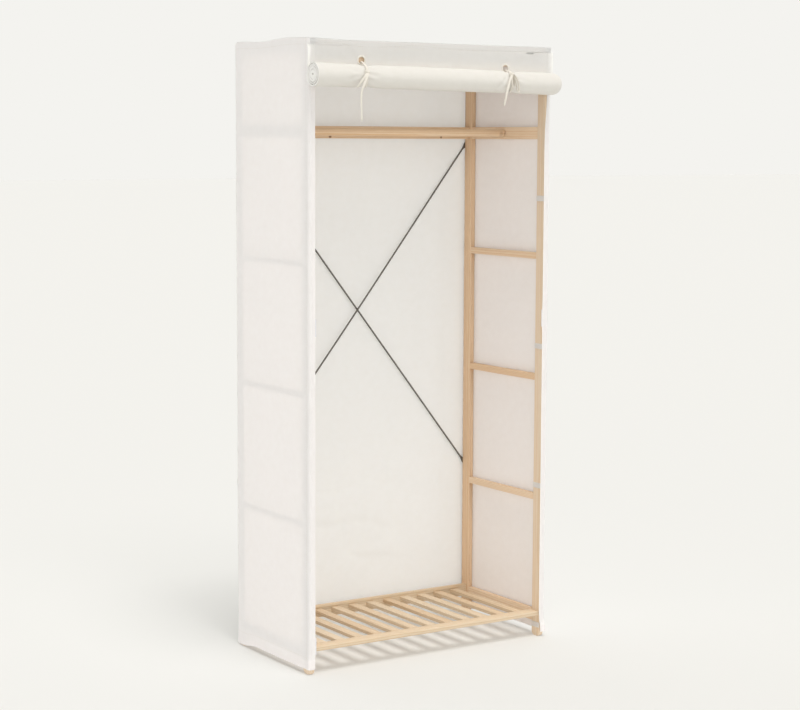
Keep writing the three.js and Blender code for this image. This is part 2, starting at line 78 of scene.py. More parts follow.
MM = 0.001
WARDROBE = "wardrobe"
ROLLED_DOOR = "rolled_door"
MIX_LOWER, MIX_UPPER = 6, 7  # a Mix node's two colour inputs, which have no names of their own
WAVE_LENGTH = 0.314159  # a Wave node's period at scale 1

# A tape's section, as shares of its width and thickness
TAPE_OUTLINE = (
    (-0.5, 0.0), (-0.46, 0.36), (-0.25, 0.5), (0.25, 0.5), (0.46, 0.36),
    (0.5, 0.0), (0.46, -0.36), (0.25, -0.5), (-0.25, -0.5), (-0.46, -0.36),
)

Point = tuple[float, float, float]
Colour = tuple[float, float, float, float]


class Grain(Enum):
    """The axis that a timber's fibres run along."""

    ACROSS = 0
    DEEP = 1
    UPRIGHT = 2

    @property
    def around(self) -> list[int]:
        """The two axes that the fibres don't run along."""
        return [axis for axis in range(3) if axis != self.value]


class Side(Enum):
    """The left or the right half of the wardrobe, with the sign of its X."""

    LEFT = -1
    RIGHT = 1

    @property
    def word(self) -> str:
        """The side's name as the CAD nodes write it."""
        return self.name.lower()

    def pick(self, left: Any, right: Any) -> Any:
        """The left or the right one of two values."""
        return left if self is Side.LEFT else right


# Node trees and materials


def linear(code: str) -> Colour:
    """Turns an sRGB hex colour into linear light.

    Args:
        code: Six hex digits.

    Returns:
        The colour as red, green, blue and alpha.
    """
    parts = [int(code[n:n + 2], 16) / 255 for n in (0, 2, 4)]
    red, green, blue = (
        part / 12.92 if part <= 0.04045 else ((part + 0.055) / 1.055) ** 2.4 for part in parts
    )
    return red, green, blue, 1.0


def add_node(
    tree: bpy.types.NodeTree,
    kind: str,
    settings: dict[str, Any] | None = None,
    links: dict[str | int, Any] | None = None,
    stops: Sequence[tuple[float, str]] = (),
) -> bpy.types.Node:
    """Adds a node with its settings and links.

    Args:
        tree: The node tree that gets the node.
        kind: The node's type name.
        settings: Values for the node's own properties.
        links: For each named or numbered input a value, a socket to link from, or a node whose first
            live output is linked.
        stops: Positions and sRGB hex colours, for a node that holds a colour ramp.

    Returns:
        The new node.
    """
    new = tree.nodes.new(kind)
    for name, value in (settings or {}).items():
        setattr(new, name, value)
    for key, value in (links or {}).items():
        if isinstance(value, bpy.types.Node):
            value = next(socket for socket in value.outputs if socket.enabled)
        if isinstance(value, bpy.types.NodeSocket):
            tree.links.new(value, new.inputs[key])
        else:
            new.inputs[key].default_value = value
    if stops:
        ramp = new.color_ramp
        while len(ramp.elements) < len(stops):
            ramp.elements.new(0.5)
        for element, (position, code) in zip(ramp.elements, stops):
            element.position = position
            element.color = linear(code)
    return new


@dataclass(frozen=True)
class Finish:
    """A named finish, which becomes one material."""

    name: str

    def make(self) -> bpy.types.Material:
        """Builds the material round one principled shader.

        Returns:
            The finished material.
        """
        material = bpy.data.materials.new(self.name)
        material.use_nodes = True
        tree = material.node_tree
        tree.nodes.clear()
        shader = add_node(tree, "ShaderNodeBsdfPrincipled", links=self.surface(tree))
        add_node(tree, "ShaderNodeOutputMaterial", links={"Surface": shader})
        return material

    def surface(self, tree: bpy.types.NodeTree) -> dict[str, Any]:
        """Adds the finish's own patterns to its node tree.

        Args:
            tree: The material's node tree.

        Returns:
            A value, a node or a socket for each input of the shader that the finish sets.
        """
        raise NotImplementedError


@dataclass(frozen=True)
class Knot:
    """A small dark spot in a timber, either a knot in the wood or a spot of painted shade: its place and
    radius in millimetres, and how dark it is.
    """

    place: Point
    radius: float
    depth: float = 0.85


@dataclass(frozen=True)
class PlanedPine(Finish):
    """Planed pine under a clear satin varnish: pale earlywood with thin amber latewood lines."""

    name: str = "planed_pine"
    earlywood: str = "FCEAD5"
    latewood: str = "F2D5B4"
    fibre_tint: str = "F3EADF"
    board_tint: str = "F6EADB"
    board_pale: str = "FFFEFB"
    # Brown of each knot in the wood and of each spot of painted shade.
    knot_brown: str = "8A5A34"
    ring_width: float = 4.2
    fibre_width: float = 0.9  # real fibres are 0.03 mm; drawn as coarse as the eye reads them
    fibre_stretch: float = 0.03
    wander: float = 9.0
    wander_size: float = 45.454545
    wander_stretch: float = 0.1
    relief: float = 0.2
    knots_and_shade_spots: tuple[Knot, ...] = ()

    def surface(self, tree: bpy.types.NodeTree) -> dict[str, Any]:
        """Lays rings and fibres on the timber's own grain attribute, and dark spots over them, each a knot in
        the wood or a spot of painted shade.

        Args:
            tree: The material's node tree.

        Returns:
            The shader's inputs.
        """
        grain = add_node(tree, "ShaderNodeAttribute", {"attribute_name": "grain"}).outputs["Vector"]
        slow = add_node(tree, "ShaderNodeMapping", links={
            "Vector": grain, "Scale": (1, 1, self.wander_stretch),
        })
        drift = add_node(tree, "ShaderNodeTexNoise", links={
            "Vector": slow, "Scale": 1 / (self.wander_size * MM), "Detail": 2.0,
        })
        pull = add_node(tree, "ShaderNodeVectorMath", {"operation": "MULTIPLY_ADD"}, {
            0: drift.outputs["Color"], 1: (self.wander * MM,) * 3, 2: grain,
        })
        rings = add_node(tree, "ShaderNodeTexWave", {
            "wave_type": "RINGS", "rings_direction": "Z", "wave_profile": "SAW",
        }, {"Vector": pull, "Scale": WAVE_LENGTH / (self.ring_width * MM), "Distortion": 0.0})
        colour = add_node(tree, "ShaderNodeValToRGB", links={"Fac": rings.outputs["Fac"]}, stops=[
            (0.0, self.latewood), (0.12, self.earlywood), (0.55, self.earlywood), (1.0, self.latewood),
        ])
        thread = add_node(tree, "ShaderNodeMapping", links={
            "Vector": grain, "Scale": (1, 1, self.fibre_stretch),
        })
        fibres = add_node(tree, "ShaderNodeTexNoise", links={
            "Vector": thread, "Scale": 1 / (self.fibre_width * MM), "Detail": 2.0,
        })
        tone = add_node(tree, "ShaderNodeAttribute", {"attribute_name": "tone"}).outputs["Fac"]
        for amount, dark, light in (
            (fibres, self.fibre_tint, "FFFFFF"), (tone, self.board_tint, self.board_pale),
        ):
            shade = add_node(tree, "ShaderNodeValToRGB", links={"Fac": amount}, stops=[
                (0.0, dark), (1.0, light),
            ])
            colour = add_node(tree, "ShaderNodeMix", {"data_type": "RGBA", "blend_type": "MULTIPLY"}, {
                "Factor": 1.0, MIX_LOWER: colour, MIX_UPPER: shade,
            })
        for knot in self.knots_and_shade_spots:
            colour = self._with_knot_or_shade_spot(tree, colour, knot)
        gloss = add_node(tree, "ShaderNodeMapRange", links={"Value": fibres, "To Min": 0.62, "To Max": 0.48})
        relief = add_node(tree, "ShaderNodeBump", links={
            "Height": fibres, "Strength": 0.25, "Distance": self.relief * MM,
        })
        return {"Base Color": colour, "Roughness": gloss, "Normal": relief}

    def _with_knot_or_shade_spot(self, tree: bpy.types.NodeTree, colour: bpy.types.Node, knot: Knot) -> bpy.types.Node:
        """Lays one dark spot over the grain, a knot in the wood or painted shade, dark to 0.4 of its radius
        and gone at 1.3.

        Args:
            tree: The material's node tree.
            colour: The node that gives the timber's colour so far.
            knot: The knot or painted shade spot to draw.

        Returns:
            The node that gives the colour with the knot in it.
        """
        place = add_node(tree, "ShaderNodeTexCoord").outputs["Object"]
        middle = tuple(part * MM for part in knot.place)
        away = add_node(tree, "ShaderNodeVectorMath", {"operation": "DISTANCE"}, {0: place, 1: middle})
        shade = add_node(tree, "ShaderNodeMapRange", {"interpolation_type": "SMOOTHSTEP"}, {
            "Value": away, "From Min": 0.4 * knot.radius * MM, "From Max": 1.3 * knot.radius * MM,
            "To Min": knot.depth, "To Max": 0.0,
        })
        return add_node(tree, "ShaderNodeMix", {"data_type": "RGBA"}, {
            "Factor": shade, MIX_LOWER: colour, MIX_UPPER: linear(self.knot_brown),
        })


@dataclass(frozen=True)
class SpunbondCloth(Finish):
    """Spunbond polypropylene, point-bonded: a matt, slightly mottled cloth with tiny pressed dots."""

    light: str
    dark: str
    # The whiter colour of the cut end: painted light on the roll's end face.
    sealed: str = "FCFBF9"
    dot_pitch: float = 3.0  # the real dots stand 1 mm apart, too fine to show
    fibre_size: float = 1.6
    mottle_size: float = 22.0
    relief: float = 0.25
    light_passed: float = 1.0
    path_length: float = 4.0  # how far light wanders between the fibres before it turns
    sealed_end: float = -9000.0  # where the whiter cut end begins along the cloth: painted light on the end face

    def surface(self, tree: bpy.types.NodeTree) -> dict[str, Any]:
        """Lays mottle, fibres and dots on the piece's own UV map, which is in metres.

        Args:
            tree: The material's node tree.

        Returns:
            The shader's inputs.
        """
        place = add_node(tree, "ShaderNodeUVMap", {"uv_map": "cloth"})
        cloud = add_node(tree, "ShaderNodeTexNoise", links={
            "Vector": place, "Scale": 1 / (self.mottle_size * MM), "Detail": 4.0, "Roughness": 0.6,
        })
        base = add_node(tree, "ShaderNodeValToRGB", links={"Fac": cloud}, stops=[
            (0.0, self.dark), (1.0, self.light),
        ])
        along = add_node(tree, "ShaderNodeSeparateXYZ", links={"Vector": place}).outputs["X"]
        # The cut end is drawn whiter: painted light on the end face.
        sealed = add_node(tree, "ShaderNodeMapRange", links={
            "Value": along, "From Min": self.sealed_end * MM, "From Max": (self.sealed_end + 1) * MM,
            "To Min": 1.0, "To Max": 0.0,
        })
        with_painted_end_light = add_node(tree, "ShaderNodeMix", {"data_type": "RGBA"}, {
            "Factor": sealed, MIX_LOWER: base, MIX_UPPER: linear(self.sealed),
        })
        fibres = add_node(tree, "ShaderNodeTexNoise", links={
            "Vector": place, "Scale": 1 / (self.fibre_size * MM), "Detail": 3.0,
        })
        dots = add_node(tree, "ShaderNodeTexVoronoi", {"feature": "F1"}, {
            "Vector": place, "Scale": 1 / (self.dot_pitch * MM), "Randomness": 0.12,
        })
        pressed = add_node(tree, "ShaderNodeMapRange", links={
            "Value": dots, "From Min": 0.12, "From Max": 0.3, "To Min": -0.5, "To Max": 0.0,
        })
        height = add_node(tree, "ShaderNodeMath", {"operation": "ADD"}, {0: fibres, 1: pressed})
        relief = add_node(tree, "ShaderNodeBump", links={
            "Height": height, "Strength": 0.35, "Distance": self.relief * MM,
        })
        return {
            "Base Color": with_painted_end_light, "Roughness": 0.85, "Specular IOR Level": 0.25, "Normal": relief,
            "Sheen Weight": 0.08, "Sheen Roughness": 0.6, "Subsurface Weight": self.light_passed,
            "Subsurface Radius": (1.0, 1.0, 1.0), "Subsurface Scale": self.path_length * MM,
        }


@dataclass(frozen=True)
class WovenTape(Finish):
    """Plain-woven cotton tape: fine ribs across its width, soft and without shine."""

    light: str = "F4F1EC"
    dark: str = "E6E0D5"
    rib_pitch: float = 1.1  # the real ribs stand 0.5 mm apart
    relief: float = 0.3

    def surface(self, tree: bpy.types.NodeTree) -> dict[str, Any]:
        """Weaves ribs and threads on the tape's own UV map, with V along it.

        Args:
            tree: The material's node tree.

        Returns:
            The shader's inputs.
        """
        place = add_node(tree, "ShaderNodeUVMap", {"uv_map": "cloth"})
        ribs, threads = (
            add_node(tree, "ShaderNodeTexWave", {"bands_direction": way}, {
                "Vector": place, "Scale": WAVE_LENGTH / (self.rib_pitch * MM),
                "Distortion": 0.6, "Detail": 1.0,
            }).outputs["Fac"]
            for way in "YX"
        )
        weave = add_node(tree, "ShaderNodeMath", {"operation": "MULTIPLY"}, {0: ribs, 1: threads})
        shade = add_node(tree, "ShaderNodeValToRGB", links={"Fac": weave}, stops=[
            (0.0, self.dark), (1.0, self.light),
        ])
        relief = add_node(tree, "ShaderNodeBump", links={
            "Height": weave, "Strength": 0.5, "Distance": self.relief * MM,
        })
        return {"Base Color": shade, "Roughness": 0.9, "Specular IOR Level": 0.2, "Normal": relief}


@dataclass(frozen=True)
class HookTape(Finish):
    """Nylon hook-and-loop patch: a cool white fuzz of small loops."""

    name: str = "nylon_hook_tape"
    light: str = "F2F1F4"
    dark: str = "DCDADF"
    loop_pitch: float = 1.8
    relief: float = 0.6

    def surface(self, tree: bpy.types.NodeTree) -> dict[str, Any]:
        """Sets loops side by side on Object coordinates.

        Args:
            tree: The material's node tree.

        Returns:
            The shader's inputs.
        """
        place = add_node(tree, "ShaderNodeTexCoord").outputs["Object"]
        loops = add_node(tree, "ShaderNodeTexVoronoi", links={
            "Vector": place, "Scale": 1 / (self.loop_pitch * MM), "Randomness": 0.5,
        })
        shade = add_node(tree, "ShaderNodeValToRGB", links={"Fac": loops}, stops=[
            (0.0, self.light), (1.0, self.dark),
        ])
        relief = add_node(tree, "ShaderNodeBump", {"invert": True}, {
            "Height": loops, "Strength": 0.6, "Distance": self.relief * MM,
        })
        return {"Base Color": shade, "Roughness": 0.75, "Normal": relief}


@dataclass(frozen=True)
class CloudedFinish(Finish):
    """A smooth hard surface whose colour drifts a little between two shades."""

    light: str
    dark: str
    cloud_size: float = 6.0
    detail: float = 2.0
    roughness: float = 0.5
    metallic: float = 0.0

    def surface(self, tree: bpy.types.NodeTree) -> dict[str, Any]:
        """Lays the drift on Object coordinates.

        Args:
            tree: The material's node tree.

        Returns:
            The shader's inputs.
        """
        place = add_node(tree, "ShaderNodeTexCoord").outputs["Object"]
        cloud = add_node(tree, "ShaderNodeTexNoise", links={
            "Vector": place, "Scale": 1 / (self.cloud_size * MM), "Detail": self.detail,
        })
        shade = add_node(tree, "ShaderNodeValToRGB", links={"Fac": cloud}, stops=[
            (0.0, self.dark), (1.0, self.light),
        ])
        return {"Base Color": shade, "Roughness": self.roughness, "Metallic": self.metallic}


@dataclass(frozen=True)
class PaintedSteel(CloudedFinish):
    """Drawn steel rod under a dark satin paint, with the slight orange peel of a dipped coat."""

    name: str = "painted_steel"
    light: str = "75726B"
    dark: str = "5F5C56"
    cloud_size: float = 14.0
    detail: float = 3.0
    roughness: float = 0.42
    metallic: float = 0.35
    peel_size: float = 3.5
    relief: float = 0.3

    def surface(self, tree: bpy.types.NodeTree) -> dict[str, Any]:
        """Adds the orange peel to the paint's drift.

        Args:
            tree: The material's node tree.

        Returns:
            The shader's inputs.
        """
        place = add_node(tree, "ShaderNodeTexCoord").outputs["Object"]
        peel = add_node(tree, "ShaderNodeTexNoise", links={
            "Vector": place, "Scale": 1 / (self.peel_size * MM), "Detail": 1.0,
        })
        relief = add_node(tree, "ShaderNodeBump", links={
            "Height": peel, "Strength": 0.2, "Distance": self.relief * MM,
        })
        return {**super().surface(tree), "Normal": relief}


@dataclass(frozen=True)
class MouldedEyelet(CloudedFinish):
    """Moulded ivory plastic, smooth with a soft highlight and a hint of flow lines."""

    name: str = "moulded_ivory_plastic"
    light: str = "F3F0EA"
    dark: str = "E8E2D8"
    roughness: float = 0.38


@dataclass(frozen=True)
class SewingThread(CloudedFinish):
    """Twisted polyester thread, a shade warmer than the cloth."""

    name: str = "polyester_thread"
    light: str = "E9E2D4"
    dark: str = "D3C9B6"
    cloud_size: float = 0.8
    detail: float = 1.0
    roughness: float = 0.6


@dataclass(frozen=True)
class ZincPlate(Finish):
    """Bright zinc-plated screw steel, faintly blue, with the swirl that the cold heading leaves."""

    name: str = "zinc_plated_steel"
    plate: str = "C6C8CB"
    swirl_size: float = 1.5

    def surface(self, tree: bpy.types.NodeTree) -> dict[str, Any]:
        """Lays the swirl on Object coordinates.

        Args:
            tree: The material's node tree.

        Returns:
            The shader's inputs.
        """
        place = add_node(tree, "ShaderNodeTexCoord").outputs["Object"]
        swirl = add_node(tree, "ShaderNodeTexNoise", links={
            "Vector": place, "Scale": 1 / (self.swirl_size * MM), "Detail": 2.0,
        })
        gloss = add_node(tree, "ShaderNodeMapRange", links={"Value": swirl, "To Min": 0.25, "To Max": 0.42})
        return {"Base Color": linear(self.plate), "Metallic": 1.0, "Roughness": gloss}


@dataclass(frozen=True)
class LitFloor(Finish):
    """Matt white acrylic, lit evenly from below so that shadows on it stay light."""

    name: str = "lit_floor"
    colour: str = "C7C7C5"
    glow: str = "F4F3EF"
    glow_strength: float = 0.28

    def surface(self, tree: bpy.types.NodeTree) -> dict[str, Any]:
        """Gives the floor one even tone and glow.

        Args:
            tree: Not used.

        Returns:
            The shader's inputs.
        """
        return {
            "Base Color": linear(self.colour), "Roughness": 1.0, "Specular IOR Level": 0.0,
            "Emission Color": linear(self.glow), "Emission Strength": self.glow_strength,
        }


@dataclass(frozen=True)
class Finishes:
    """Every finish of the wardrobe, built once."""

    pine: bpy.types.Material
    painted_light_pine: bpy.types.Material
    shelf_pine: bpy.types.Material
    pine_with_knots_and_shade: bpy.types.Material
    cover_cloth: bpy.types.Material
    roof_cloth: bpy.types.Material
    side_cloth: bpy.types.Material
    door_cloth: bpy.types.Material
    roll_cloth: bpy.types.Material
    strap_tape: bpy.types.Material
    tie_tape: bpy.types.Material
    hook_tape: bpy.types.Material
    steel: bpy.types.Material
    zinc: bpy.types.Material
    eyelet: bpy.types.Material
    thread: bpy.types.Material
    floor: bpy.types.Material

    @classmethod
    def build(cls) -> "Finishes":
        """Makes all materials.

        Returns:
            The set of finishes.
        """
        # A knot at each of two places in the back upper rail, then two spots of painted shade on the garment
        # rod's right end, where it goes into the right upper rail.
        knots_and_shade_spots = (
            Knot((-108.0, 206.8, 1447.0), 5.0), Knot((276.0, 206.8, 1446.5), 3.6),
            Knot((366.0, 29.0, 1457.0), 8.0, 0.35), Knot((379.0, 29.0, 1458.0), 5.0, 0.6),
        )
        finishes = {
            "pine": PlanedPine(),
            # The front posts' pine is drawn paler than the rest: painted light for the extra light that their
            # faces catch at the open front.
            "painted_light_pine": PlanedPine("planed_pine_painted_light", earlywood="FFF9F0", latewood="FAEDDB"),
            "shelf_pine": PlanedPine("planed_shelf_pine", earlywood="EBE0CE", latewood="DFCBAF"),
            "pine_with_knots_and_shade": PlanedPine(
                "planed_pine_with_knots", earlywood="F2DABF", latewood="E5C199", knots_and_shade_spots=knots_and_shade_spots
            ),
            "cover_cloth": SpunbondCloth("spunbond_cover_cloth", light="FBF9F6", dark="F7F4EF"),
            "roof_cloth": SpunbondCloth(
                "spunbond_roof_cloth", light="FCFAF8", dark="F8F6F2", path_length=10.0
            ),
            "side_cloth": SpunbondCloth(
                "spunbond_side_cloth", light="F8F4F4", dark="F2EDEC", path_length=1.2
            ),
            "door_cloth": SpunbondCloth(
                "spunbond_door_cloth", light="FAF8F4", dark="F5F2EC", light_passed=0.8
            ),
            # The roll's left cut end is drawn whiter: painted light on its end face.
            "roll_cloth": SpunbondCloth(
                "spunbond_roll_cloth", light="E6E3DE", dark="DFDCD5", light_passed=0.0, sealed_end=-404.6
            ),
            "strap_tape": WovenTape("woven_strap_tape", light="F4F2F1", dark="E4E0DD"),
            "tie_tape": WovenTape("woven_tie_tape"),
            "hook_tape": HookTape(),
            "steel": PaintedSteel(),
            "zinc": ZincPlate(),
            "eyelet": MouldedEyelet(),
            "thread": SewingThread(),
            "floor": LitFloor(),
        }
        return cls(**{word: finish.make() for word, finish in finishes.items()})


# Meshes


def mesh_piece(
    name: str,
    vertices: np.ndarray,
    faces: Sequence[Sequence[int]],
    material: bpy.types.Material,
    uv: np.ndarray | None = None,
    sharp_angle: float = 40.0,
) -> bpy.types.Object:
    """Makes a smooth-shaded mesh object with its place in its mesh.

    Args:
        name: The piece's name.
        vertices: Points in millimetres.
        faces: Vertex numbers of each face.
        material: The piece's finish.
        uv: One UV in millimetres for each vertex, where the finish follows the surface.
        sharp_angle: Edges that turn more than this many degrees stay sharp.

    Returns:
        The new object, linked to the scene.
    """
    mesh = bpy.data.meshes.new(name)
    mesh.from_pydata((vertices * MM).tolist(), [], [list(face) for face in faces])
    mesh.materials.append(material)
    if uv is not None:
        layer = mesh.uv_layers.new(name="cloth")
        corners = np.empty(len(mesh.loops), np.int32)
        mesh.loops.foreach_get("vertex_index", corners)
        layer.data.foreach_set("uv", (uv[corners] * MM).astype(np.float32).ravel())
    finish_mesh(mesh, sharp_angle)
    return placed(name, mesh)


def placed(name: str, data: Any) -> bpy.types.Object:
    """Puts a new object with this data in the scene, at the origin."""
    piece = bpy.data.objects.new(name, data)
    bpy.context.scene.collection.objects.link(piece)
    return piece


def evaluated_mesh(piece: bpy.types.Object) -> bpy.types.Mesh:
    """A plain mesh of an object as its modifiers leave it."""
    graph = bpy.context.evaluated_depsgraph_get()
    graph.update()
    return bpy.data.meshes.new_from_object(piece.evaluated_get(graph))


def finish_mesh(mesh: bpy.types.Mesh, sharp_angle: float) -> None:
    """Shades a mesh smooth and keeps its corners sharp.

    Args:
        mesh: The mesh to shade.
        sharp_angle: Edges that turn more than this many degrees stay sharp.
    """
    mesh.polygons.foreach_set("use_smooth", [True] * len(mesh.polygons))
    mesh.set_sharp_from_angle(angle=math.radians(sharp_angle))
    mesh.update()


def set_out(
    piece: bpy.types.Object, body: str, nodes: Sequence[str] = ()
) -> bpy.types.Object:
    """Hands a finished piece to its body and the CAD nodes that it stands for.

    Args:
        piece: The finished piece.
        body: The CAD body that it rides on.
        nodes: The CAD nodes that it replaces.

    Returns:
        The same piece.
    """
    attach(piece, body)
    if nodes:
        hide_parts(*nodes)
    log.info("%s: %d faces on %s", piece.name, len(piece.data.polygons), body)
    return piece


def stations(low: float, high: float, step: float, marks: Iterable[float] = ()) -> np.ndarray:
    """Spaces places evenly and adds marks where an edge must fall.

    Args:
        low: The first place.
        high: The last place.
        step: The widest step between places.
        marks: Places that must be among them.

    Returns:
        The sorted places.
    """
    even = np.linspace(low, high, max(2, math.ceil(abs(high - low) / step) + 1))
    kept = [mark for mark in marks if low < mark < high]
    near = [all(abs(place - mark) > 0.3 * step for mark in kept) for place in even[1:-1]]
    return np.array(sorted([low, high, *kept, *even[1:-1][near]]))


def wander(a: np.ndarray, b: np.ndarray, size: float, seed: float) -> np.ndarray:
    """Smooth seeded noise from about -1 to 1 over a surface.

    Args:
        a: First place on the surface, in millimetres.
        b: Second place on the surface.
        size: The size of one bump.
        seed: A number that gives another pattern.

    Returns:
        The noise at each place.
    """
    flat = [noise.noise(Vector((x / size, y / size, seed))) for x, y in zip(np.ravel(a), np.ravel(b))]
    return np.array(flat).reshape(np.shape(a))


def creased(a: np.ndarray, b: np.ndarray, size: float, seed: float, power: float = 6.0) -> np.ndarray:
    """Thin wandering ridges from 0 to 1, such as creases left by packing.

    Args:
        a: First place on the surface, in millimetres.
        b: Second place on the surface.
        size: The distance between creases.
        seed: A number that gives another pattern.
        power: How thin the ridges are.

    Returns:
        The ridges' height at each place.
    """
    return (1 - np.minimum(1, np.abs(wander(a, b, size, seed)) * 1.6)) ** power


def nearest(places: np.ndarray, wanted: float) -> int:
    """The number of the place that lies nearest to the wanted one."""
    return int(np.abs(places - wanted).argmin())


def bump(place: np.ndarray, middle: float, reach: float) -> np.ndarray:
    """A smooth hump of height 1 round a place."""
    return np.exp(-(((place - middle) / reach) ** 2))


def step_up(place: np.ndarray, low: float, high: float) -> np.ndarray:
    """A smooth rise from 0 at one place to 1 at another."""
    share = np.clip((place - low) / (high - low), 0, 1)
    return share * share * (3 - 2 * share)


def cloth_piece(
    name: str,
    middle: np.ndarray,
    thick: np.ndarray | float,
    material: bpy.types.Material,
    uv: np.ndarray,
) -> bpy.types.Object:
    """Makes a closed sheet of cloth round a grid of points.

    Args:
        name: The piece's name.
        middle: The cloth's middle surface, rows by columns by three, in millimetres.
        thick: Its thickness at each point.
        material: Its finish.
        uv: Its flat places, rows by columns by two, in millimetres.

    Returns:
        The sheet, with its outer side where columns cross rows.
    """
    rows, columns = middle.shape[:2]
    along = np.gradient(middle, axis=1)
    up = np.gradient(middle, axis=0)
    normal = np.cross(along, up)
    normal /= np.maximum(np.linalg.norm(normal, axis=2, keepdims=True), 1e-9)
    half = np.broadcast_to(np.asarray(thick, float), (rows, columns))[..., None] / 2
    outer = (middle + normal * half).reshape(-1, 3)
    inner = (middle - normal * half).reshape(-1, 3)
    count = rows * columns
    index = np.arange(count).reshape(rows, columns)
    quads = np.stack([index[:-1, :-1], index[:-1, 1:], index[1:, 1:], index[1:, :-1]], -1).reshape(-1, 4)
    rim = [*index[0, :], *index[1:, -1], *index[-1, -2::-1], *index[-2:0:-1, 0]]
    edge = [(a + count, b + count, b, a) for a, b in zip(rim, [*rim[1:], rim[0]])]
    faces = [*quads.tolist(), *(quads[:, ::-1] + count).tolist(), *edge]
    flat = uv.reshape(-1, 2)
    return mesh_piece(name, np.vstack([outer, inner]), faces, material, np.vstack([flat, flat]), 50.0)


def run_along(path: np.ndarray) -> np.ndarray:
    """How far each point of a path lies from its start, along the path."""
    return np.concatenate([[0], np.cumsum(np.linalg.norm(np.diff(path, axis=0), axis=1))])


def smooth_path(stops: Sequence[Point], count: int) -> np.ndarray:
    """Runs an even, smooth path through its stops.

    Args:
        stops: The points to pass, in millimetres.
        count: The number of points to return.

    Returns:
        The path's points, equally far apart.
    """
    points = np.array(stops, float)
    ghost = np.vstack([2 * points[0] - points[1], points, 2 * points[-1] - points[-2]])
    fine = []
    for n in range(len(points) - 1):
        a, b, c, d = ghost[n:n + 4]
        for share in np.linspace(0, 1, 24, endpoint=False):
            fine.append(0.5 * (
                2 * b + (c - a) * share + (2 * a - 5 * b + 4 * c - d) * share ** 2
                + (3 * b - a - 3 * c + d) * share ** 3
            ))
    fine.append(points[-1])
    line = np.array(fine)
    run = run_along(line)
    places = np.linspace(0, run[-1], count)
    return np.stack([np.interp(places, run, line[:, n]) for n in range(3)], 1)


def ring_faces(rings: int, sides: int, start: int = 0, closed: bool = False) -> list[tuple[int, ...]]:
    """Joins rings of vertices into a tube, with a cap at each end unless it runs back into itself.

    Args:
        rings: How many rings there are.
        sides: How many vertices each ring has.
        start: The number of the first vertex.
        closed: Whether the last ring joins the first.

    Returns:
        The faces' vertex numbers.
    """
    faces = []
    for n in range(rings if closed else rings - 1):
        low, top = start + n * sides, start + (n + 1) % rings * sides
        for k in range(sides):
            turn = (k + 1) % sides
            faces.append((low + k, top + k, top + turn, low + turn))
    if not closed:
        last = start + (rings - 1) * sides
        faces += [tuple(range(start, start + sides)), tuple(reversed(range(last, last + sides)))]
    return faces


def tape_piece(
    name: str,
    paths: Sequence[tuple[np.ndarray, np.ndarray, float]],
    thick: float,
    material: bpy.types.Material,
    closed: bool = False,
) -> bpy.types.Object:
    """Makes flat tapes along paths, with softly rounded edges, as one mesh.

    Args:
        name: The piece's name.
        paths: For each tape its points, the direction that its face looks at each, and its width.
        thick: The tape's thickness.
        material: Its finish.
        closed: Whether each path runs back into its own start.

    Returns:
        The tapes.
    """
    vertices, faces, flats = [], [], []
    for path, facing, width in paths:
        ahead = np.roll(path, -1, 0) - np.roll(path, 1, 0) if closed else np.gradient(path, axis=0)
        ahead /= np.linalg.norm(ahead, axis=1, keepdims=True)
        aside = np.cross(ahead, facing)
        aside /= np.linalg.norm(aside, axis=1, keepdims=True)
        out = np.cross(aside, ahead)
        run = run_along(path)
        faces += ring_faces(len(path), len(TAPE_OUTLINE), len(vertices), closed)
        for n, point in enumerate(path):
            for across, high in TAPE_OUTLINE:
                vertices.append(point + aside[n] * across * width + out[n] * high * thick)
                flats.append((across * width, run[n]))
    return mesh_piece(name, np.array(vertices), faces, material, np.array(flats), 60.0)


def turned_piece(
    name: str,
    profile: Sequence[tuple[float, float]],
    middle: Point,
    axis: int,
    material: bpy.types.Material,
    sides: int = 40,
    looped: bool = False,
) -> bpy.types.Object:
    """Turns a profile round an axis of the frame.

    Args:
        name: The piece's name.
        profile: Radius and place along the axis, from one end to the other.
        middle: The piece's middle.
        axis: 0 for an axis along X, 1 for one along Y.
        material: Its finish.
        sides: Facets round it.
        looped: Whether the profile closes on itself, as on a ring.

    Returns:
        The turned piece.
    """
    vertices = []
    for radius, along in profile:
        for angle in np.arange(sides) * 2 * math.pi / sides:
            spread = (radius * math.cos(angle), radius * math.sin(angle))
            local = (along, *spread) if axis == 0 else (spread[1], along, spread[0])
            vertices.append(np.array(middle) + local)
    faces = ring_faces(len(profile), sides, closed=looped)
    piece = mesh_piece(name, np.array(vertices), faces, material, sharp_angle=35.0)
    face_outward(piece.data)
    return piece


def face_outward(mesh: bpy.types.Mesh) -> None:
    """Points the faces of a closed mesh outwards.

    Args:
        mesh: The mesh to mend.
    """
    shape = bmesh.new()
    shape.from_mesh(mesh)
    bmesh.ops.recalc_face_normals(shape, faces=shape.faces)
    shape.to_mesh(mesh)
    shape.free()


# The pine frame


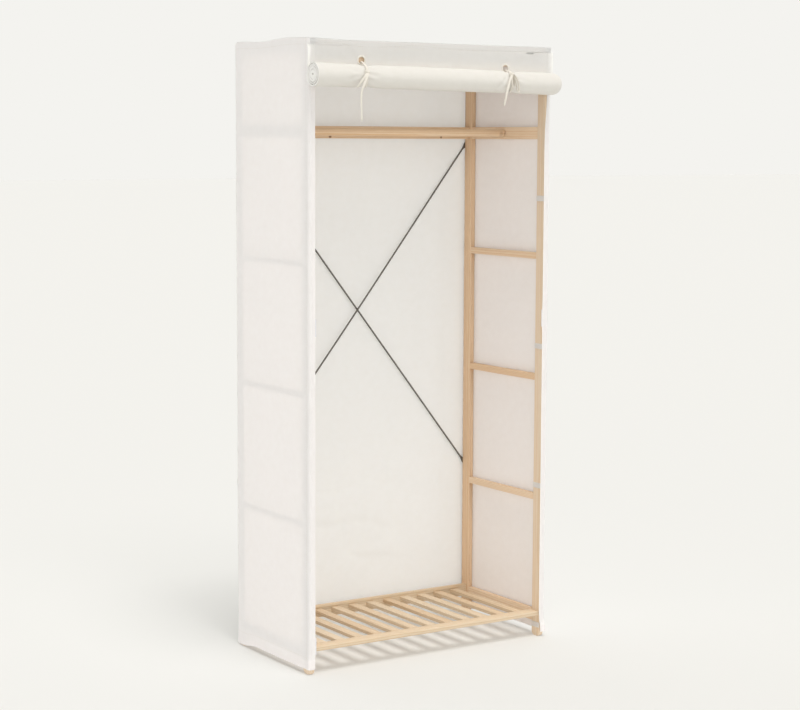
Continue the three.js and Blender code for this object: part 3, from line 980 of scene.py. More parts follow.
@dataclass
class PineFrame:
    """The ladder frame, the shelf and the garment rod."""

    finishes: Finishes
    nodes: dict[str, bpy.types.Object]
    arris: float = 0.9
    foot_radius: float = 12.0
    rod_middle: Point = (0.0, 36.916, 1459.5)
    rod_radius: float = 10.5
    spigot_radius: float = 6.0
    rod_half: float = 379.7
    spigot_tip: float = 388.0
    rod_arris: float = 1.2
    weld: float = 0.02
    touch: float = 0.05
    log_depth: tuple[float, float] = (22.0, 55.0)
    log_length: float = 6000.0
    seed: int = 7
    randomness: random.Random = field(init=False)

    def __post_init__(self) -> None:
        """Starts the seeded choice of each timber's place in its log."""
        self.randomness = random.Random(self.seed)

    def build(self) -> None:
        """Makes every timber from its CAD node."""
        pine, knotted_and_shaded, shelf = self.finishes.pine, self.finishes.pine_with_knots_and_shade, self.finishes.shelf_pine
        for side in Side:
            # The front posts take the paler pine: painted light on their faces.
            self.timber(f"post_front_{side.word}", Grain.UPRIGHT, self.finishes.painted_light_pine)
            self.timber(f"post_back_{side.word}", Grain.UPRIGHT, pine)
        for side in Side:
            for member in ("lower_rail", "rung_1", "rung_2", "rung_3", "top_rail", "upper_rail"):
                self.timber(f"{side.word}_{member}", Grain.DEEP, pine)
        for rail, finish in (
            ("front_top_rail", pine), ("back_top_rail", pine), ("shelf_rear_rail", shelf),
            ("shelf_front_board", shelf), ("back_upper_rail", knotted_and_shaded),
        ):
            self.timber(rail, Grain.ACROSS, finish)
        slats = sorted(node for node in self.nodes if node.startswith("shelf_slat_"))
        for slat in slats:
            self.timber(slat, Grain.DEEP, shelf)
        # The rod's pine also carries spots of painted shade at its right end.
        self.rod(knotted_and_shaded)

    def timber(self, node: str, grain: Grain, material: bpy.types.Material) -> bpy.types.Object:
        """Copies one timber, eases its long edges and lays its grain.

        Args:
            node: The CAD node's name.
            grain: The way that its fibres run.
            material: Its finish.

        Returns:
            The dressed timber.
        """
        shape = bmesh.new()
        shape.from_mesh(self.nodes[node].data)
        bmesh.ops.remove_doubles(shape, verts=shape.verts, dist=self.weld * MM)
        bmesh.ops.dissolve_limit(shape, angle_limit=math.radians(1.0), verts=shape.verts, edges=shape.edges)
        corners = np.array([vertex.co for vertex in shape.verts])
        low, high = corners.min(0), corners.max(0)
        edges = [edge for edge in shape.edges if self._is_arris(edge, grain, low, high)]
        bmesh.ops.bevel(
            shape, geom=edges, offset=self.arris * MM, offset_type="OFFSET", segments=2,
            profile=0.5, affect="EDGES", clamp_overlap=True,
        )
        mesh = bpy.data.meshes.new(f"{node}_timber")
        shape.to_mesh(mesh)
        shape.free()
        mesh.materials.append(material)
        finish_mesh(mesh, 30.0)
        piece = placed(f"{node}_timber", mesh)
        self.lay_grain(piece, grain)
        return set_out(piece, WARDROBE, [node])

    def _is_arris(
        self, edge: bmesh.types.BMEdge, grain: Grain, low: np.ndarray, high: np.ndarray
    ) -> bool:
        """Tells whether an edge is one that a plane would ease.

        Args:
            edge: The edge to judge.
            grain: The way that the fibres run.
            low: The timber's lowest corner.
            high: The timber's highest corner.

        Returns:
            True for long corner edges, and for a post's top and foot.
        """
        touch = self.touch * MM
        ends = np.array([vertex.co for vertex in edge.verts])
        at_limit = (np.abs(ends - low) < touch) | (np.abs(ends - high) < touch)
        on_face = at_limit.all(0) & (np.ptp(ends, axis=0) < touch)
        if on_face[grain.around].all():
            return True
        if grain is not Grain.UPRIGHT:
            return False
        is_top = on_face[2] and ends[0][2] > high[2] - touch
        is_foot = on_face[0] and ends[:, 2].max() < self.foot_radius * MM + 2 * touch
        return bool(is_top or is_foot)

    def lay_grain(self, piece: bpy.types.Object, grain: Grain) -> None:
        """Gives a timber its own place in the log, as attributes that its finish reads.

        Args:
            piece: The timber.
            grain: The way that its fibres run.
        """
        count = len(piece.data.vertices)
        points = np.empty(3 * count)
        piece.data.vertices.foreach_get("co", points)
        points = points.reshape(-1, 3)
        first, second = grain.around
        middle = (points.min(0) + points.max(0)) / 2
        angle = self.randomness.uniform(0, 2 * math.pi)
        away = self.randomness.uniform(*self.log_depth) * MM
        local = np.stack([
            points[:, first] - middle[first] + away * math.cos(angle),
            points[:, second] - middle[second] + away * math.sin(angle),
            points[:, grain.value] + self.randomness.uniform(0, self.log_length * MM),
        ], 1)
        layer = piece.data.attributes.new("grain", "FLOAT_VECTOR", "POINT")
        layer.data.foreach_set("vector", local.astype(np.float32).ravel())
        tone = piece.data.attributes.new("tone", "FLOAT", "POINT")
        share = self.randomness.random()
        tone.data.foreach_set("value", np.full(count, share, np.float32))

    def rod(self, material: bpy.types.Material) -> bpy.types.Object:
        """Turns the garment rod, with its spigots and eased ends.

        Args:
            material: Its finish.

        Returns:
            The rod.
        """
        half, tip, ease = self.rod_half, self.spigot_tip, self.rod_arris
        profile = [
            (0.01, -tip), (self.spigot_radius - ease, -tip), (self.spigot_radius, ease - tip),
            (self.spigot_radius, -half), (self.rod_radius - ease, -half), (self.rod_radius, ease - half),
            (self.rod_radius, half - ease), (self.rod_radius - ease, half), (self.spigot_radius, half),
            (self.spigot_radius, tip - ease), (self.spigot_radius - ease, tip), (0.01, tip),
        ]
        piece = turned_piece("garment_rod_turned", profile, self.rod_middle, 0, material)
        self.lay_grain(piece, Grain.ACROSS)
        return set_out(piece, WARDROBE, ["garment_rod"])


# The steel brace


@dataclass
class CrossBrace:
    """Two thin steel rods, flattened and drilled at their ends, crossed behind the back posts."""

    finishes: Finishes
    end_x: float = 387.0
    low: float = 460.0
    high: float = 1431.0
    post_face: float = 231.32
    seat: float = 0.3
    radius: float = 2.4
    tab_radius: float = 6.5
    tab_half: float = 1.2
    flattening: float = 26.0
    flat_end: float = 5.0
    tip_steps: int = 7
    blend_steps: int = 10
    middle_steps: int = 60
    sides: int = 14

    def build(self) -> None:
        """Makes both rods."""
        self.rod("brace_rod_rising", 1, 2 * self.radius + self.seat)
        self.rod("brace_rod_falling", -1, 0.0)

    def rod(self, node: str, sign: int, bow: float) -> bpy.types.Object:
        """Sweeps one rod from tab to tab.

        Args:
            node: The CAD node that it replaces.
            sign: 1 where it rises to the right, -1 where it falls.
            bow: How far its middle passes in front of the other rod.

        Returns:
            The rod.
        """
        start = np.array([-sign * self.end_x, 0.0, self.low])
        end = np.array([sign * self.end_x, 0.0, self.high])
        length = float(np.linalg.norm(end - start))
        ahead = (end - start) / length
        aside = np.cross((0.0, 1.0, 0.0), ahead)
        reach = self.tab_radius
        tip = [-reach * math.cos(angle) for angle in np.linspace(0, math.pi / 2, self.tip_steps)]
        ends = [*tip, *np.linspace(0.25, 1.0, self.blend_steps) * (self.flattening - reach)]
        middle = np.linspace(self.flattening, length - self.flattening, self.middle_steps)
        places = [*ends, *middle, *[length - place for place in reversed(ends)]]
        rings = []
        for place in places:
            inward = min(place, length - place)
            flat = 1 - float(step_up(np.array(inward), self.flat_end, self.flattening))
            round_off = math.sqrt(max(0.0, reach ** 2 - min(0.0, inward) ** 2))
            wide = self.radius + flat * (min(round_off, reach) - self.radius)
            deep = self.radius + flat * (self.tab_half - self.radius)
            y = self.post_face + self.seat + deep - bow * math.sin(math.pi * place / length) ** 2
            centre = start + ahead * place + np.array([0.0, y, 0.0])
            for angle in np.arange(self.sides) * 2 * math.pi / self.sides:
                outward = aside * max(wide, 0.05) * math.cos(angle)
                rings.append(centre + outward + np.array([0.0, deep * math.sin(angle), 0.0]))
        faces = ring_faces(len(places), self.sides)
        piece = mesh_piece(f"{node}_drawn", np.array(rings), faces, self.finishes.steel, sharp_angle=50.0)
        face_outward(piece.data)
        return set_out(piece, WARDROBE, [node])

    def screw_places(self) -> list[tuple[Point, Point]]:
        """Where the brace's screws stand and which way they face.

        Returns:
            A place and a direction for each screw.
        """
        back = self.post_face + self.seat + 2 * self.tab_half
        return [
            ((x, back, z), (0.0, 1.0, 0.0))
            for x in (-self.end_x, self.end_x) for z in (self.low, self.high)
        ]


# Repeats made with geometry nodes


def repeat_group(name: str, sizes: dict[str, float]) -> tuple[bpy.types.NodeTree, bpy.types.Node]:
    """Starts a node group that takes a mesh and named sizes, and gives a mesh.

    Args:
        name: The group's name.
        sizes: The default of each named size, in metres.

    Returns:
        The group and its input node.
    """
    tree = bpy.data.node_groups.new(name, "GeometryNodeTree")
    tree.interface.new_socket("Geometry", in_out="INPUT", socket_type="NodeSocketGeometry")
    for label, value in sizes.items():
        socket = tree.interface.new_socket(label, in_out="INPUT", socket_type="NodeSocketFloat")
        socket.default_value = value
    tree.interface.new_socket("Geometry", in_out="OUTPUT", socket_type="NodeSocketGeometry")
    return tree, add_node(tree, "NodeGroupInput")


def lay_repeats(
    tree: bpy.types.NodeTree,
    spots: bpy.types.Node,
    facing: bpy.types.NodeSocket,
    shape: bpy.types.Node,
    material: bpy.types.Material,
) -> None:
    """Ends a node group: sets a shape on every point and gives the whole its finish.

    Args:
        tree: The node group.
        spots: The node that gives the points.
        facing: The way that each shape's Z axis looks.
        shape: The node that gives the shape.
        material: The finish.
    """
    turn = add_node(tree, "FunctionNodeAlignRotationToVector", {"axis": "Z"}, {"Vector": facing})
    laid = add_node(tree, "GeometryNodeInstanceOnPoints", links={
        "Points": spots, "Instance": shape, "Rotation": turn,
    })
    real = add_node(tree, "GeometryNodeRealizeInstances", links={"Geometry": laid})
    dressed = add_node(tree, "GeometryNodeSetMaterial", links={"Geometry": real, "Material": material})
    add_node(tree, "NodeGroupOutput", links={"Geometry": dressed})


def grown(
    name: str, seeds: bpy.types.Mesh, tree: bpy.types.NodeTree, sizes: dict[str, float]
) -> bpy.types.Object:
    """Runs a node group on a mesh and keeps the result as a plain mesh.

    Args:
        name: The name of the result.
        seeds: The mesh that the group starts from.
        tree: The node group.
        sizes: The group's named sizes, in metres.

    Returns:
        A new object with the group's mesh.
    """
    holder = placed(f"{name}_seeds", seeds)
    modifier = holder.modifiers.new("repeat", "NODES")
    modifier.node_group = tree
    sockets = {item.name: item.identifier for item in tree.interface.items_tree if item.in_out == "INPUT"}
    for label, value in sizes.items():
        modifier[sockets[label]] = value
    mesh = evaluated_mesh(holder)
    mesh.name = name
    bpy.data.objects.remove(holder)
    return placed(name, mesh)


@dataclass
class StitchRows:
    """Runs of lockstitch along seams, each stitch a small plump grain of thread."""

    finishes: Finishes
    pitch: float = 4.2
    length: float = 3.0
    thread: float = 0.45
    sizes: dict[str, float] = field(init=False)
    group: bpy.types.NodeTree = field(init=False)

    def __post_init__(self) -> None:
        """Makes the node group that every seam shares."""
        self.sizes = {"Pitch": self.pitch * MM, "Length": self.length * MM, "Thread": self.thread * MM}
        self.group = self.tree()

    def tree(self) -> bpy.types.NodeTree:
        """Builds the node group that sets stitches along edges.

        Returns:
            The group, with inputs Pitch, Length and Thread.
        """
        tree, inside = repeat_group("stitches_along_seams", self.sizes)
        sizes = inside.outputs
        curve = add_node(tree, "GeometryNodeMeshToCurve", links={"Mesh": sizes["Geometry"]})
        spots = add_node(tree, "GeometryNodeCurveToPoints", {"mode": "LENGTH"}, {
            "Curve": curve, "Length": sizes["Pitch"],
        })
        grain = add_node(tree, "GeometryNodeMeshIcoSphere", links={"Radius": 0.5, "Subdivisions": 1})
        size = add_node(tree, "ShaderNodeCombineXYZ", links={
            "X": sizes["Thread"], "Y": sizes["Thread"], "Z": sizes["Length"],
        })
        shaped = add_node(tree, "GeometryNodeTransform", links={"Geometry": grain, "Scale": size})
        lay_repeats(tree, spots, spots.outputs["Tangent"], shaped, self.finishes.thread)
        return tree

    def sew(self, name: str, rows: Sequence[np.ndarray], slot: str) -> bpy.types.Object:
        """Sews rows of stitches that ride on the wardrobe.

        Args:
            name: The piece's name.
            rows: The points of each row, in millimetres, on the cloth's surface.
            slot: Not used.

        Returns:
            The stitches as a plain mesh.
        """
        edges, start = [], 0
        for row in rows:
            edges += [(start + n, start + n + 1) for n in range(len(row) - 1)]
            start += len(row)
        seeds = bpy.data.meshes.new(f"{name}_path")
        seeds.from_pydata((np.vstack(rows) * MM).tolist(), edges, [])
        return set_out(grown(name, seeds, self.group, self.sizes), WARDROBE)


@dataclass(frozen=True)
class ScrewHeads:
    """Pan-head screws with a cross recess, set on points that carry the way they face."""

    finishes: Finishes
    radius: float = 3.6
    height: float = 1.7
    recess: float = 0.9
    crown: float = 0.72
    recess_length: float = 0.95
    facets: int = 20

    def tree(self, sizes: dict[str, float]) -> bpy.types.NodeTree:
        """Builds the node group that sets a screw head on every point.

        Args:
            sizes: The head's named sizes, in metres.

        Returns:
            The group, with inputs Radius, Height and Recess.
        """
        tree, inside = repeat_group("screw_heads_on_points", sizes)
        radius, height = inside.outputs["Radius"], inside.outputs["Height"]
        spots = add_node(tree, "GeometryNodeMeshToPoints", links={"Mesh": inside.outputs["Geometry"]})
        crown, length = (
            add_node(tree, "ShaderNodeMath", {"operation": "MULTIPLY"}, {0: radius, 1: share})
            for share in (self.crown, self.recess_length)
        )
        head = add_node(tree, "GeometryNodeMeshCone", {"fill_type": "NGON"}, {
            "Vertices": self.facets, "Radius Top": crown, "Radius Bottom": radius, "Depth": height,
        })
        bar = add_node(tree, "ShaderNodeCombineXYZ", links={
            "X": length, "Y": inside.outputs["Recess"], "Z": height,
        })
        cut = add_node(tree, "GeometryNodeMeshCube", links={"Size": bar})
        lift = add_node(tree, "ShaderNodeCombineXYZ", links={"Z": height})
        for turned in (0.0, math.pi / 2):
            slit = add_node(tree, "GeometryNodeTransform", links={
                "Geometry": cut, "Translation": lift, "Rotation": (0.0, 0.0, turned),
            })
            head = add_node(tree, "GeometryNodeMeshBoolean", {"operation": "DIFFERENCE", "solver": "EXACT"}, {
                0: head, 1: slit,
            })
        way = add_node(tree, "GeometryNodeInputNamedAttribute", {"data_type": "FLOAT_VECTOR"}, {
            "Name": "facing",
        })
        lay_repeats(tree, spots, way.outputs["Attribute"], head, self.finishes.zinc)
        return tree

    def drive(self, name: str, places: Sequence[tuple[Point, Point]]) -> bpy.types.Object:
        """Sets the screws as one piece that rides on the wardrobe.

        Args:
            name: The piece's name.
            places: A place in millimetres and a direction for each screw.

        Returns:
            The screw heads as a plain mesh.
        """
        seeds = bpy.data.meshes.new(f"{name}_points")
        seeds.from_pydata([[part * MM for part in place] for place, _ in places], [], [])
        layer = seeds.attributes.new("facing", "FLOAT_VECTOR", "POINT")
        layer.data.foreach_set("vector", np.array([way for _, way in places], np.float32).ravel())
        sizes = {"Radius": self.radius * MM, "Height": self.height * MM, "Recess": self.recess * MM}
        piece = grown(name, seeds, self.tree(sizes), sizes)
        finish_mesh(piece.data, 30.0)
        return set_out(piece, WARDROBE)


# The cloth cover


@dataclass
class Cover:
    """The sewn cloth cover: two side cloths that fold round the front posts, a back, a roof and a band."""

    finishes: Finishes
    stitches: StitchRows
    thick: float = 0.9
    hem: float = 24.0
    hem_extra: float = 0.8
    hem_edge: float = 0.8
    bottom: float = 15.0
    rear_drop: float = 11.5
    drop_reach: float = 90.0
    wall_top: float = 1698.6
    wall_plane: float = 395.0
    back_edge: float = 236.5
    front_plane: float = -163.45
    fold_radius: float = 9.0
    flange_width: float = 8.8
    back_plane: float = 237.3
    roof_plane: float = 1699.35
    roof_sag: float = 4.0
    seam_height: float = 1683.0
    seam_width: float = 1.5
    crest_foot: float = 1650.0
    back_half: float = 395.4
    roof_half: float = 396.0
    roof_front: float = -165.6
    roof_rear: float = 237.6
    roof_seam: float = 16.0
    band_half: float = 396.4
    band_top: float = 1699.3
    band_drop: float = 19.5
    band_plane: float = -165.75
    stitch_lift: float = 0.15
    step: float = 8.0
    timber_heights: tuple[tuple[float, float], ...] = (
        (60.0, 17.5), (409.85, 9.3), (759.75, 9.3), (1109.65, 9.3), (1459.5, 17.5), (1681.0, 17.5),
    )
    back_grips: tuple[tuple[float, float, float], ...] = (
        (0.8, 1459.5, 60.0), (0.9, 1681.0, 50.0), (0.75, 66.0, 50.0),
    )

    def build(self) -> None:
        """Makes every cloth of the cover with its seams."""
        for side in Side:
            self.side_cloth(side)
        self.back()
        self.roof()
        self.band()

    def _crest(self, x: np.ndarray, y: np.ndarray) -> np.ndarray:
        """How far the cover's top stands up at its left edge, where the cloth is a little long.

        Args:
            x: Places from left to right.
            y: Places from front to back.

        Returns:
            The rise in millimetres, which ends in a rounded corner at the back.
        """
        corner = np.clip((y - 222) / (self.back_edge - 222), 0, 1)
        rise = 4.4 + 2.6 * np.cos((y + 60) / 49) - 6.0 * (1 - np.sqrt(1 - corner ** 2))
        return np.maximum(rise, 0) * np.exp(-(((x + 395) / 75) ** 2))

    def _hemmed(self, z: np.ndarray) -> np.ndarray:
        """The cloth's thickness at each height: double in the bottom hem."""
        top = self.bottom + self.hem
        return self.thick + self.hem_extra * (1 - step_up(z, top, top + self.hem_edge))

    def _raised(self, x: np.ndarray, y: np.ndarray, z: np.ndarray, drop: np.ndarray) -> np.ndarray:
        """Heights with the crest added near the top and a drop taken off near the bottom.

        Args:
            x: Places from left to right.
            y: Places from front to back.
            z: Heights on the flat cloth.
            drop: How far the bottom edge hangs lower.

        Returns:
            The heights in millimetres.
        """
        crest = self._crest(x, y) * step_up(z, self.crest_foot, self.wall_top)
        return z + crest - drop * (1 - step_up(z, self.bottom, self.drop_reach))

    def _wall_relief(self, side: Side, y: np.ndarray, z: np.ndarray) -> np.ndarray:
        """How far a side wall stands out from its plane.

        Args:
            side: The wall's side.
            y: Places from front to back.
            z: Heights.

        Returns:
            The relief in millimetres, never below 0.
        """
        seed = side.pick(11.0, 47.0)
        belly = np.sin(np.pi * np.clip((y + 150) / 370, 0, 1))
        held = sum(bump(z, height, half + 26) for height, half in self.timber_heights)
        loose = belly * (1 - 0.75 * np.clip(held, 0, 1))
        relief = 1.7 * loose
        relief += (0.5 + 0.8 * belly) * (0.6 + 0.6 * wander(y, 0.35 * z, 70, seed))
        relief += 0.45 * (1 + wander(y, z, 38, seed + 3)) * belly
        relief += 0.55 * creased(y + 0.25 * z, 0.3 * z, 95, seed + 9) * belly
        relief += 0.9 * bump(z, self.bottom, 55) * (1 + wander(y, z, 60, seed + 5))
        return np.maximum(relief, 0)

    def side_cloth(self, side: Side) -> bpy.types.Object:
        """Makes a side wall and the flange that folds round its front post, as one cloth.

        Args:
            side: The wall's side.

        Returns:
            The cloth.
        """
        sign, word, radius = side.value, side.word, self.fold_radius
        wall_run = self.back_edge - (self.front_plane + radius)
        arc_run = radius * math.pi / 2
        total = wall_run + arc_run + self.flange_width
        marks = [3, wall_run - 5, *np.linspace(wall_run, wall_run + arc_run, 9), total - 6, total - 3]
        run = stations(0, total, self.step, marks)
        hem_top = self.bottom + self.hem
        heights = stations(self.bottom, self.wall_top, 1.3 * self.step, [
            hem_top, hem_top + self.hem_edge, self.seam_height, self.seam_height - self.seam_width,
        ])
        s, z = np.meshgrid(run, heights)
        turn = np.clip((s - wall_run) / radius, 0, math.pi / 2)
        beyond = np.clip(s - wall_run - arc_run, 0, None)
        y = self.back_edge - np.clip(s, 0, wall_run)
        relief = self._wall_relief(side, y, z)
        front = step_up(y, self.front_plane + 30, self.front_plane + radius)
        relief = relief * (1 - front) + 0.25 * front
        relief = relief * (1 - 0.6 * step_up(y, self.back_edge - 12, self.back_edge))
        flare = self._flare(side, z)
        narrow = self._flange_share(side, z)
        puff = 2.9 * bump(s, wall_run + arc_run / 2, 11)
        x = sign * (self.wall_plane + relief - radius * (1 - np.cos(turn)) - beyond * narrow + flare + puff)
        wave = 0.22 * (1 + wander(z, 0 * z, 42, side.pick(5.0, 21.0)))
        wave = wave * np.clip(beyond / self.flange_width, 0, 1)
        y_out = y - radius * np.sin(turn) - wave - 0.6 * flare - puff * np.sin(turn)
        corner = np.clip((y - 228) / (self.back_edge - 228), 0, 1)
        drop = self.rear_drop * step_up(y, 120, 215) - 3.5 * (1 - np.sqrt(1 - corner ** 2))
        z = self._raised(x, y, z, drop)
        grid = np.concatenate([np.stack([x, y_out, z, s, z], -1), self._hemmed(z)[..., None]], -1)
        if side is Side.RIGHT:
            grid = grid[:, ::-1]
        middle, flat, thick = grid[..., :3], grid[..., 3:5], grid[..., 5]
        piece = cloth_piece(f"{word}_side_cloth", middle, thick, self.finishes.side_cloth, flat)
        set_out(piece, WARDROBE, [f"cover_{word}_wall", f"cover_{word}_flange"])
        self._sew_side(side, middle)
        return piece

    def _flare(self, side: Side, z: np.ndarray) -> np.ndarray:
        """How far the front fold stands off its post near the floor."""
        return side.pick(1.5, 4.5) * bump(z, self.bottom, 34)

    def _flange_share(self, side: Side, z: np.ndarray) -> np.ndarray:
        """The flange's width as a share: the right one pulls back below the roll and shows the post."""
        if side is Side.LEFT:
            return 1 - 0.05 * bump(z, 940, 60)
        return 1 - 0.75 * bump(z, 1560, 70) + 0.12 * bump(z, 935, 40)

    def _sew_side(self, side: Side, middle: np.ndarray) -> None:
        """Sews a side cloth's bottom hem, its top seam and the edge of its front fold.

        Args:
            side: The cloth's side.
            middle: The cloth's middle surface.
        """
        outward = np.array([side.value, 0.0, 0.0])
        lift = outward * (self.thick / 2 + self.stitch_lift)
        heights, depths = middle[:, 0, 2], middle[0, :, 1]
        fold_end = self.front_plane + self.fold_radius
        wall = depths > fold_end + 2
        self.stitches.sew(f"{side.word}_side_stitches", [
            middle[nearest(heights, self.bottom + self.hem)][wall] + lift + outward * self.hem_extra / 2,
            middle[nearest(heights, self.seam_height)][wall] + lift,
            middle[:, nearest(depths, fold_end + 5)] + lift,
        ], "cover_cloth")

    def back(self) -> bpy.types.Object:
        """Makes the back wall with its soft upright folds and the creases above its hem.

        Returns:
            The cloth.
        """
        hem_top = self.bottom + self.hem
        run = stations(-self.back_half, self.back_half, self.step)[::-1]
        heights = stations(self.bottom, self.wall_top, 1.2 * self.step, [hem_top, hem_top + self.hem_edge])
        x, z = np.meshgrid(run, heights)
        share = (x + self.back_half) / (2 * self.back_half)
        belly = np.sin(np.pi * np.clip((share - 0.04) / 0.92, 0, 1))
        held = sum(grip * bump(z, height, reach) for grip, height, reach in self.back_grips)
        relief = 1.2 + 3.0 * belly * (1 - np.clip(held, 0, 0.9))
        relief += 1.9 * belly * (0.55 + wander(x, 0.18 * z, 95, 61.0))
        relief += 0.8 * belly * wander(x + 0.2 * z, 0.5 * z, 46, 12.5)
        low = bump(z, 300, 230)
        relief += 3.6 * low * belly * creased(0.35 * x, z + 0.22 * x, 105, 33.0, 5.0)
        relief += 1.8 * low * belly * wander(0.4 * x, z, 60, 71.0)
        relief += 1.4 * belly * creased(x, 0.25 * z, 120, 83.0, 5.0)
        relief += 3.0 * bump(z, 470 + 0.45 * (x + 390), 9) * (1 - step_up(x, -330, -230))
        relief += 2.6 * bump(z, 196 - 0.1 * (x - 100), 8) * bump(x, 60, 90)
        right = bump(x, 330, 28) * (1 - 0.6 * np.clip(held, 0, 1))
        relief += 3.0 * right * (0.8 + 0.5 * wander(x, z, 140, 91.0))
        drop = self.rear_drop * step_up(np.abs(x), 300, 392)
        height = self._raised(x, np.full_like(x, self.back_edge), z, drop)
        middle = np.stack([x, self.back_plane + np.maximum(relief, 0), height], -1)
        flat = np.stack([x, z], -1)
        piece = cloth_piece("back_cloth", middle, self._hemmed(z), self.finishes.cover_cloth, flat)
        set_out(piece, WARDROBE, ["cover_back_wall"])
        lift = np.array([0.0, self.thick / 2 + self.hem_extra / 2 + self.stitch_lift, 0.0])
        self.stitches.sew("back_stitches", [
            middle[nearest(heights, hem_top)] + lift, middle[:, 2] + lift * 0.6, middle[:, -3] + lift * 0.6,
        ], "cover_cloth")
        return piece

    def roof(self) -> bpy.types.Object:
        """Makes the roof, which sags a little between the top rails.

        Returns:
            The cloth.
        """
        seam = self.roof_half - self.roof_seam
        x, y = np.meshgrid(
            stations(-self.roof_half, self.roof_half, 1.3 * self.step, [-seam, seam]),
            stations(self.roof_front, self.roof_rear, 1.3 * self.step, [-150, 222]),
        )
        across = np.sin(np.pi * np.clip((x + seam) / (2 * seam), 0, 1))
        deep = np.sin(np.pi * np.clip((y + 140) / 350, 0, 1))
        sag = self.roof_sag * (across * deep) ** 0.8
        sag = sag + 1.3 * across * deep * (0.6 + wander(x, y, 80, 17.0))
        middle = np.stack([x, y, self.roof_plane - sag + self._crest(x, y)], -1)
        piece = cloth_piece("roof_cloth", middle, self.thick, self.finishes.roof_cloth, np.stack([x, y], -1))
        set_out(piece, WARDROBE, ["cover_roof"])
        lift = np.array([0.0, 0.0, self.thick / 2 + self.stitch_lift])
        self.stitches.sew("roof_stitches", [
            middle[:, 1] + lift, middle[:, -2] + lift, middle[1, 1:-1] + lift, middle[-2, 1:-1] + lift,
        ], "cover_cloth")
        return piece

    def band(self) -> bpy.types.Object:
        """Makes the band over the door, with its wavy double seam.

        Returns:
            The cloth.
        """
        run = stations(-self.band_half, self.band_half, 5.0)
        drop = np.concatenate([np.linspace(0, 11, 8), np.linspace(12.2, self.band_drop, 10)])[::-1]
        x, d = np.meshgrid(run, drop)
        down = d / self.band_drop
        wave = 1.1 * wander(x, 0 * x, 75, 3.3) + 0.5 * wander(x, 0 * x, 24, 8.1)
        seam = 15.5 - 7.5 * bump(x, -60, 75) - 6 * step_up(-x, 265, 300) + 0.6 * wander(x, 0 * x, 40, 2.6)
        groove = 0.42 * bump(d, seam, 1.1) - 0.15 * bump(d, seam - 2.4, 1.5)
        groove = groove * (1 - 0.7 * step_up(-x, 240, 320))
        pucker = 0.3 * wander(x, d, 16, 5.5) * bump(d, seam, 5) + 0.25 * wander(x, d, 48, 9.5)
        roll_over = 1.4 * np.clip(1 - d / 2.2, 0, 1) ** 2
        y = self.band_plane + roll_over + groove - pucker
        ends = step_up(np.abs(x), 391, self.band_half)
        crest = self._crest(x, np.full_like(x, -165.0))
        z = self.band_top - d + wave * down ** 2 + (crest - 2.2 * ends ** 2) * (1 - down)
        middle = np.stack([x, y, z], -1)
        thick = 0.8 - 0.65 * step_up(d, 13, self.band_drop)
        piece = cloth_piece("door_band", middle, thick, self.finishes.cover_cloth, np.stack([x, d], -1))
        set_out(piece, WARDROBE, ["cover_front_band"])
        share = (seam[0] - drop[-1]) / (drop[0] - drop[-1])
        row = middle[-1] + (middle[0] - middle[-1]) * share[:, None]
        row[:, 1] = self.band_plane - 0.35
        self.stitches.sew("band_stitches", [row], "cover_cloth")
        return piece


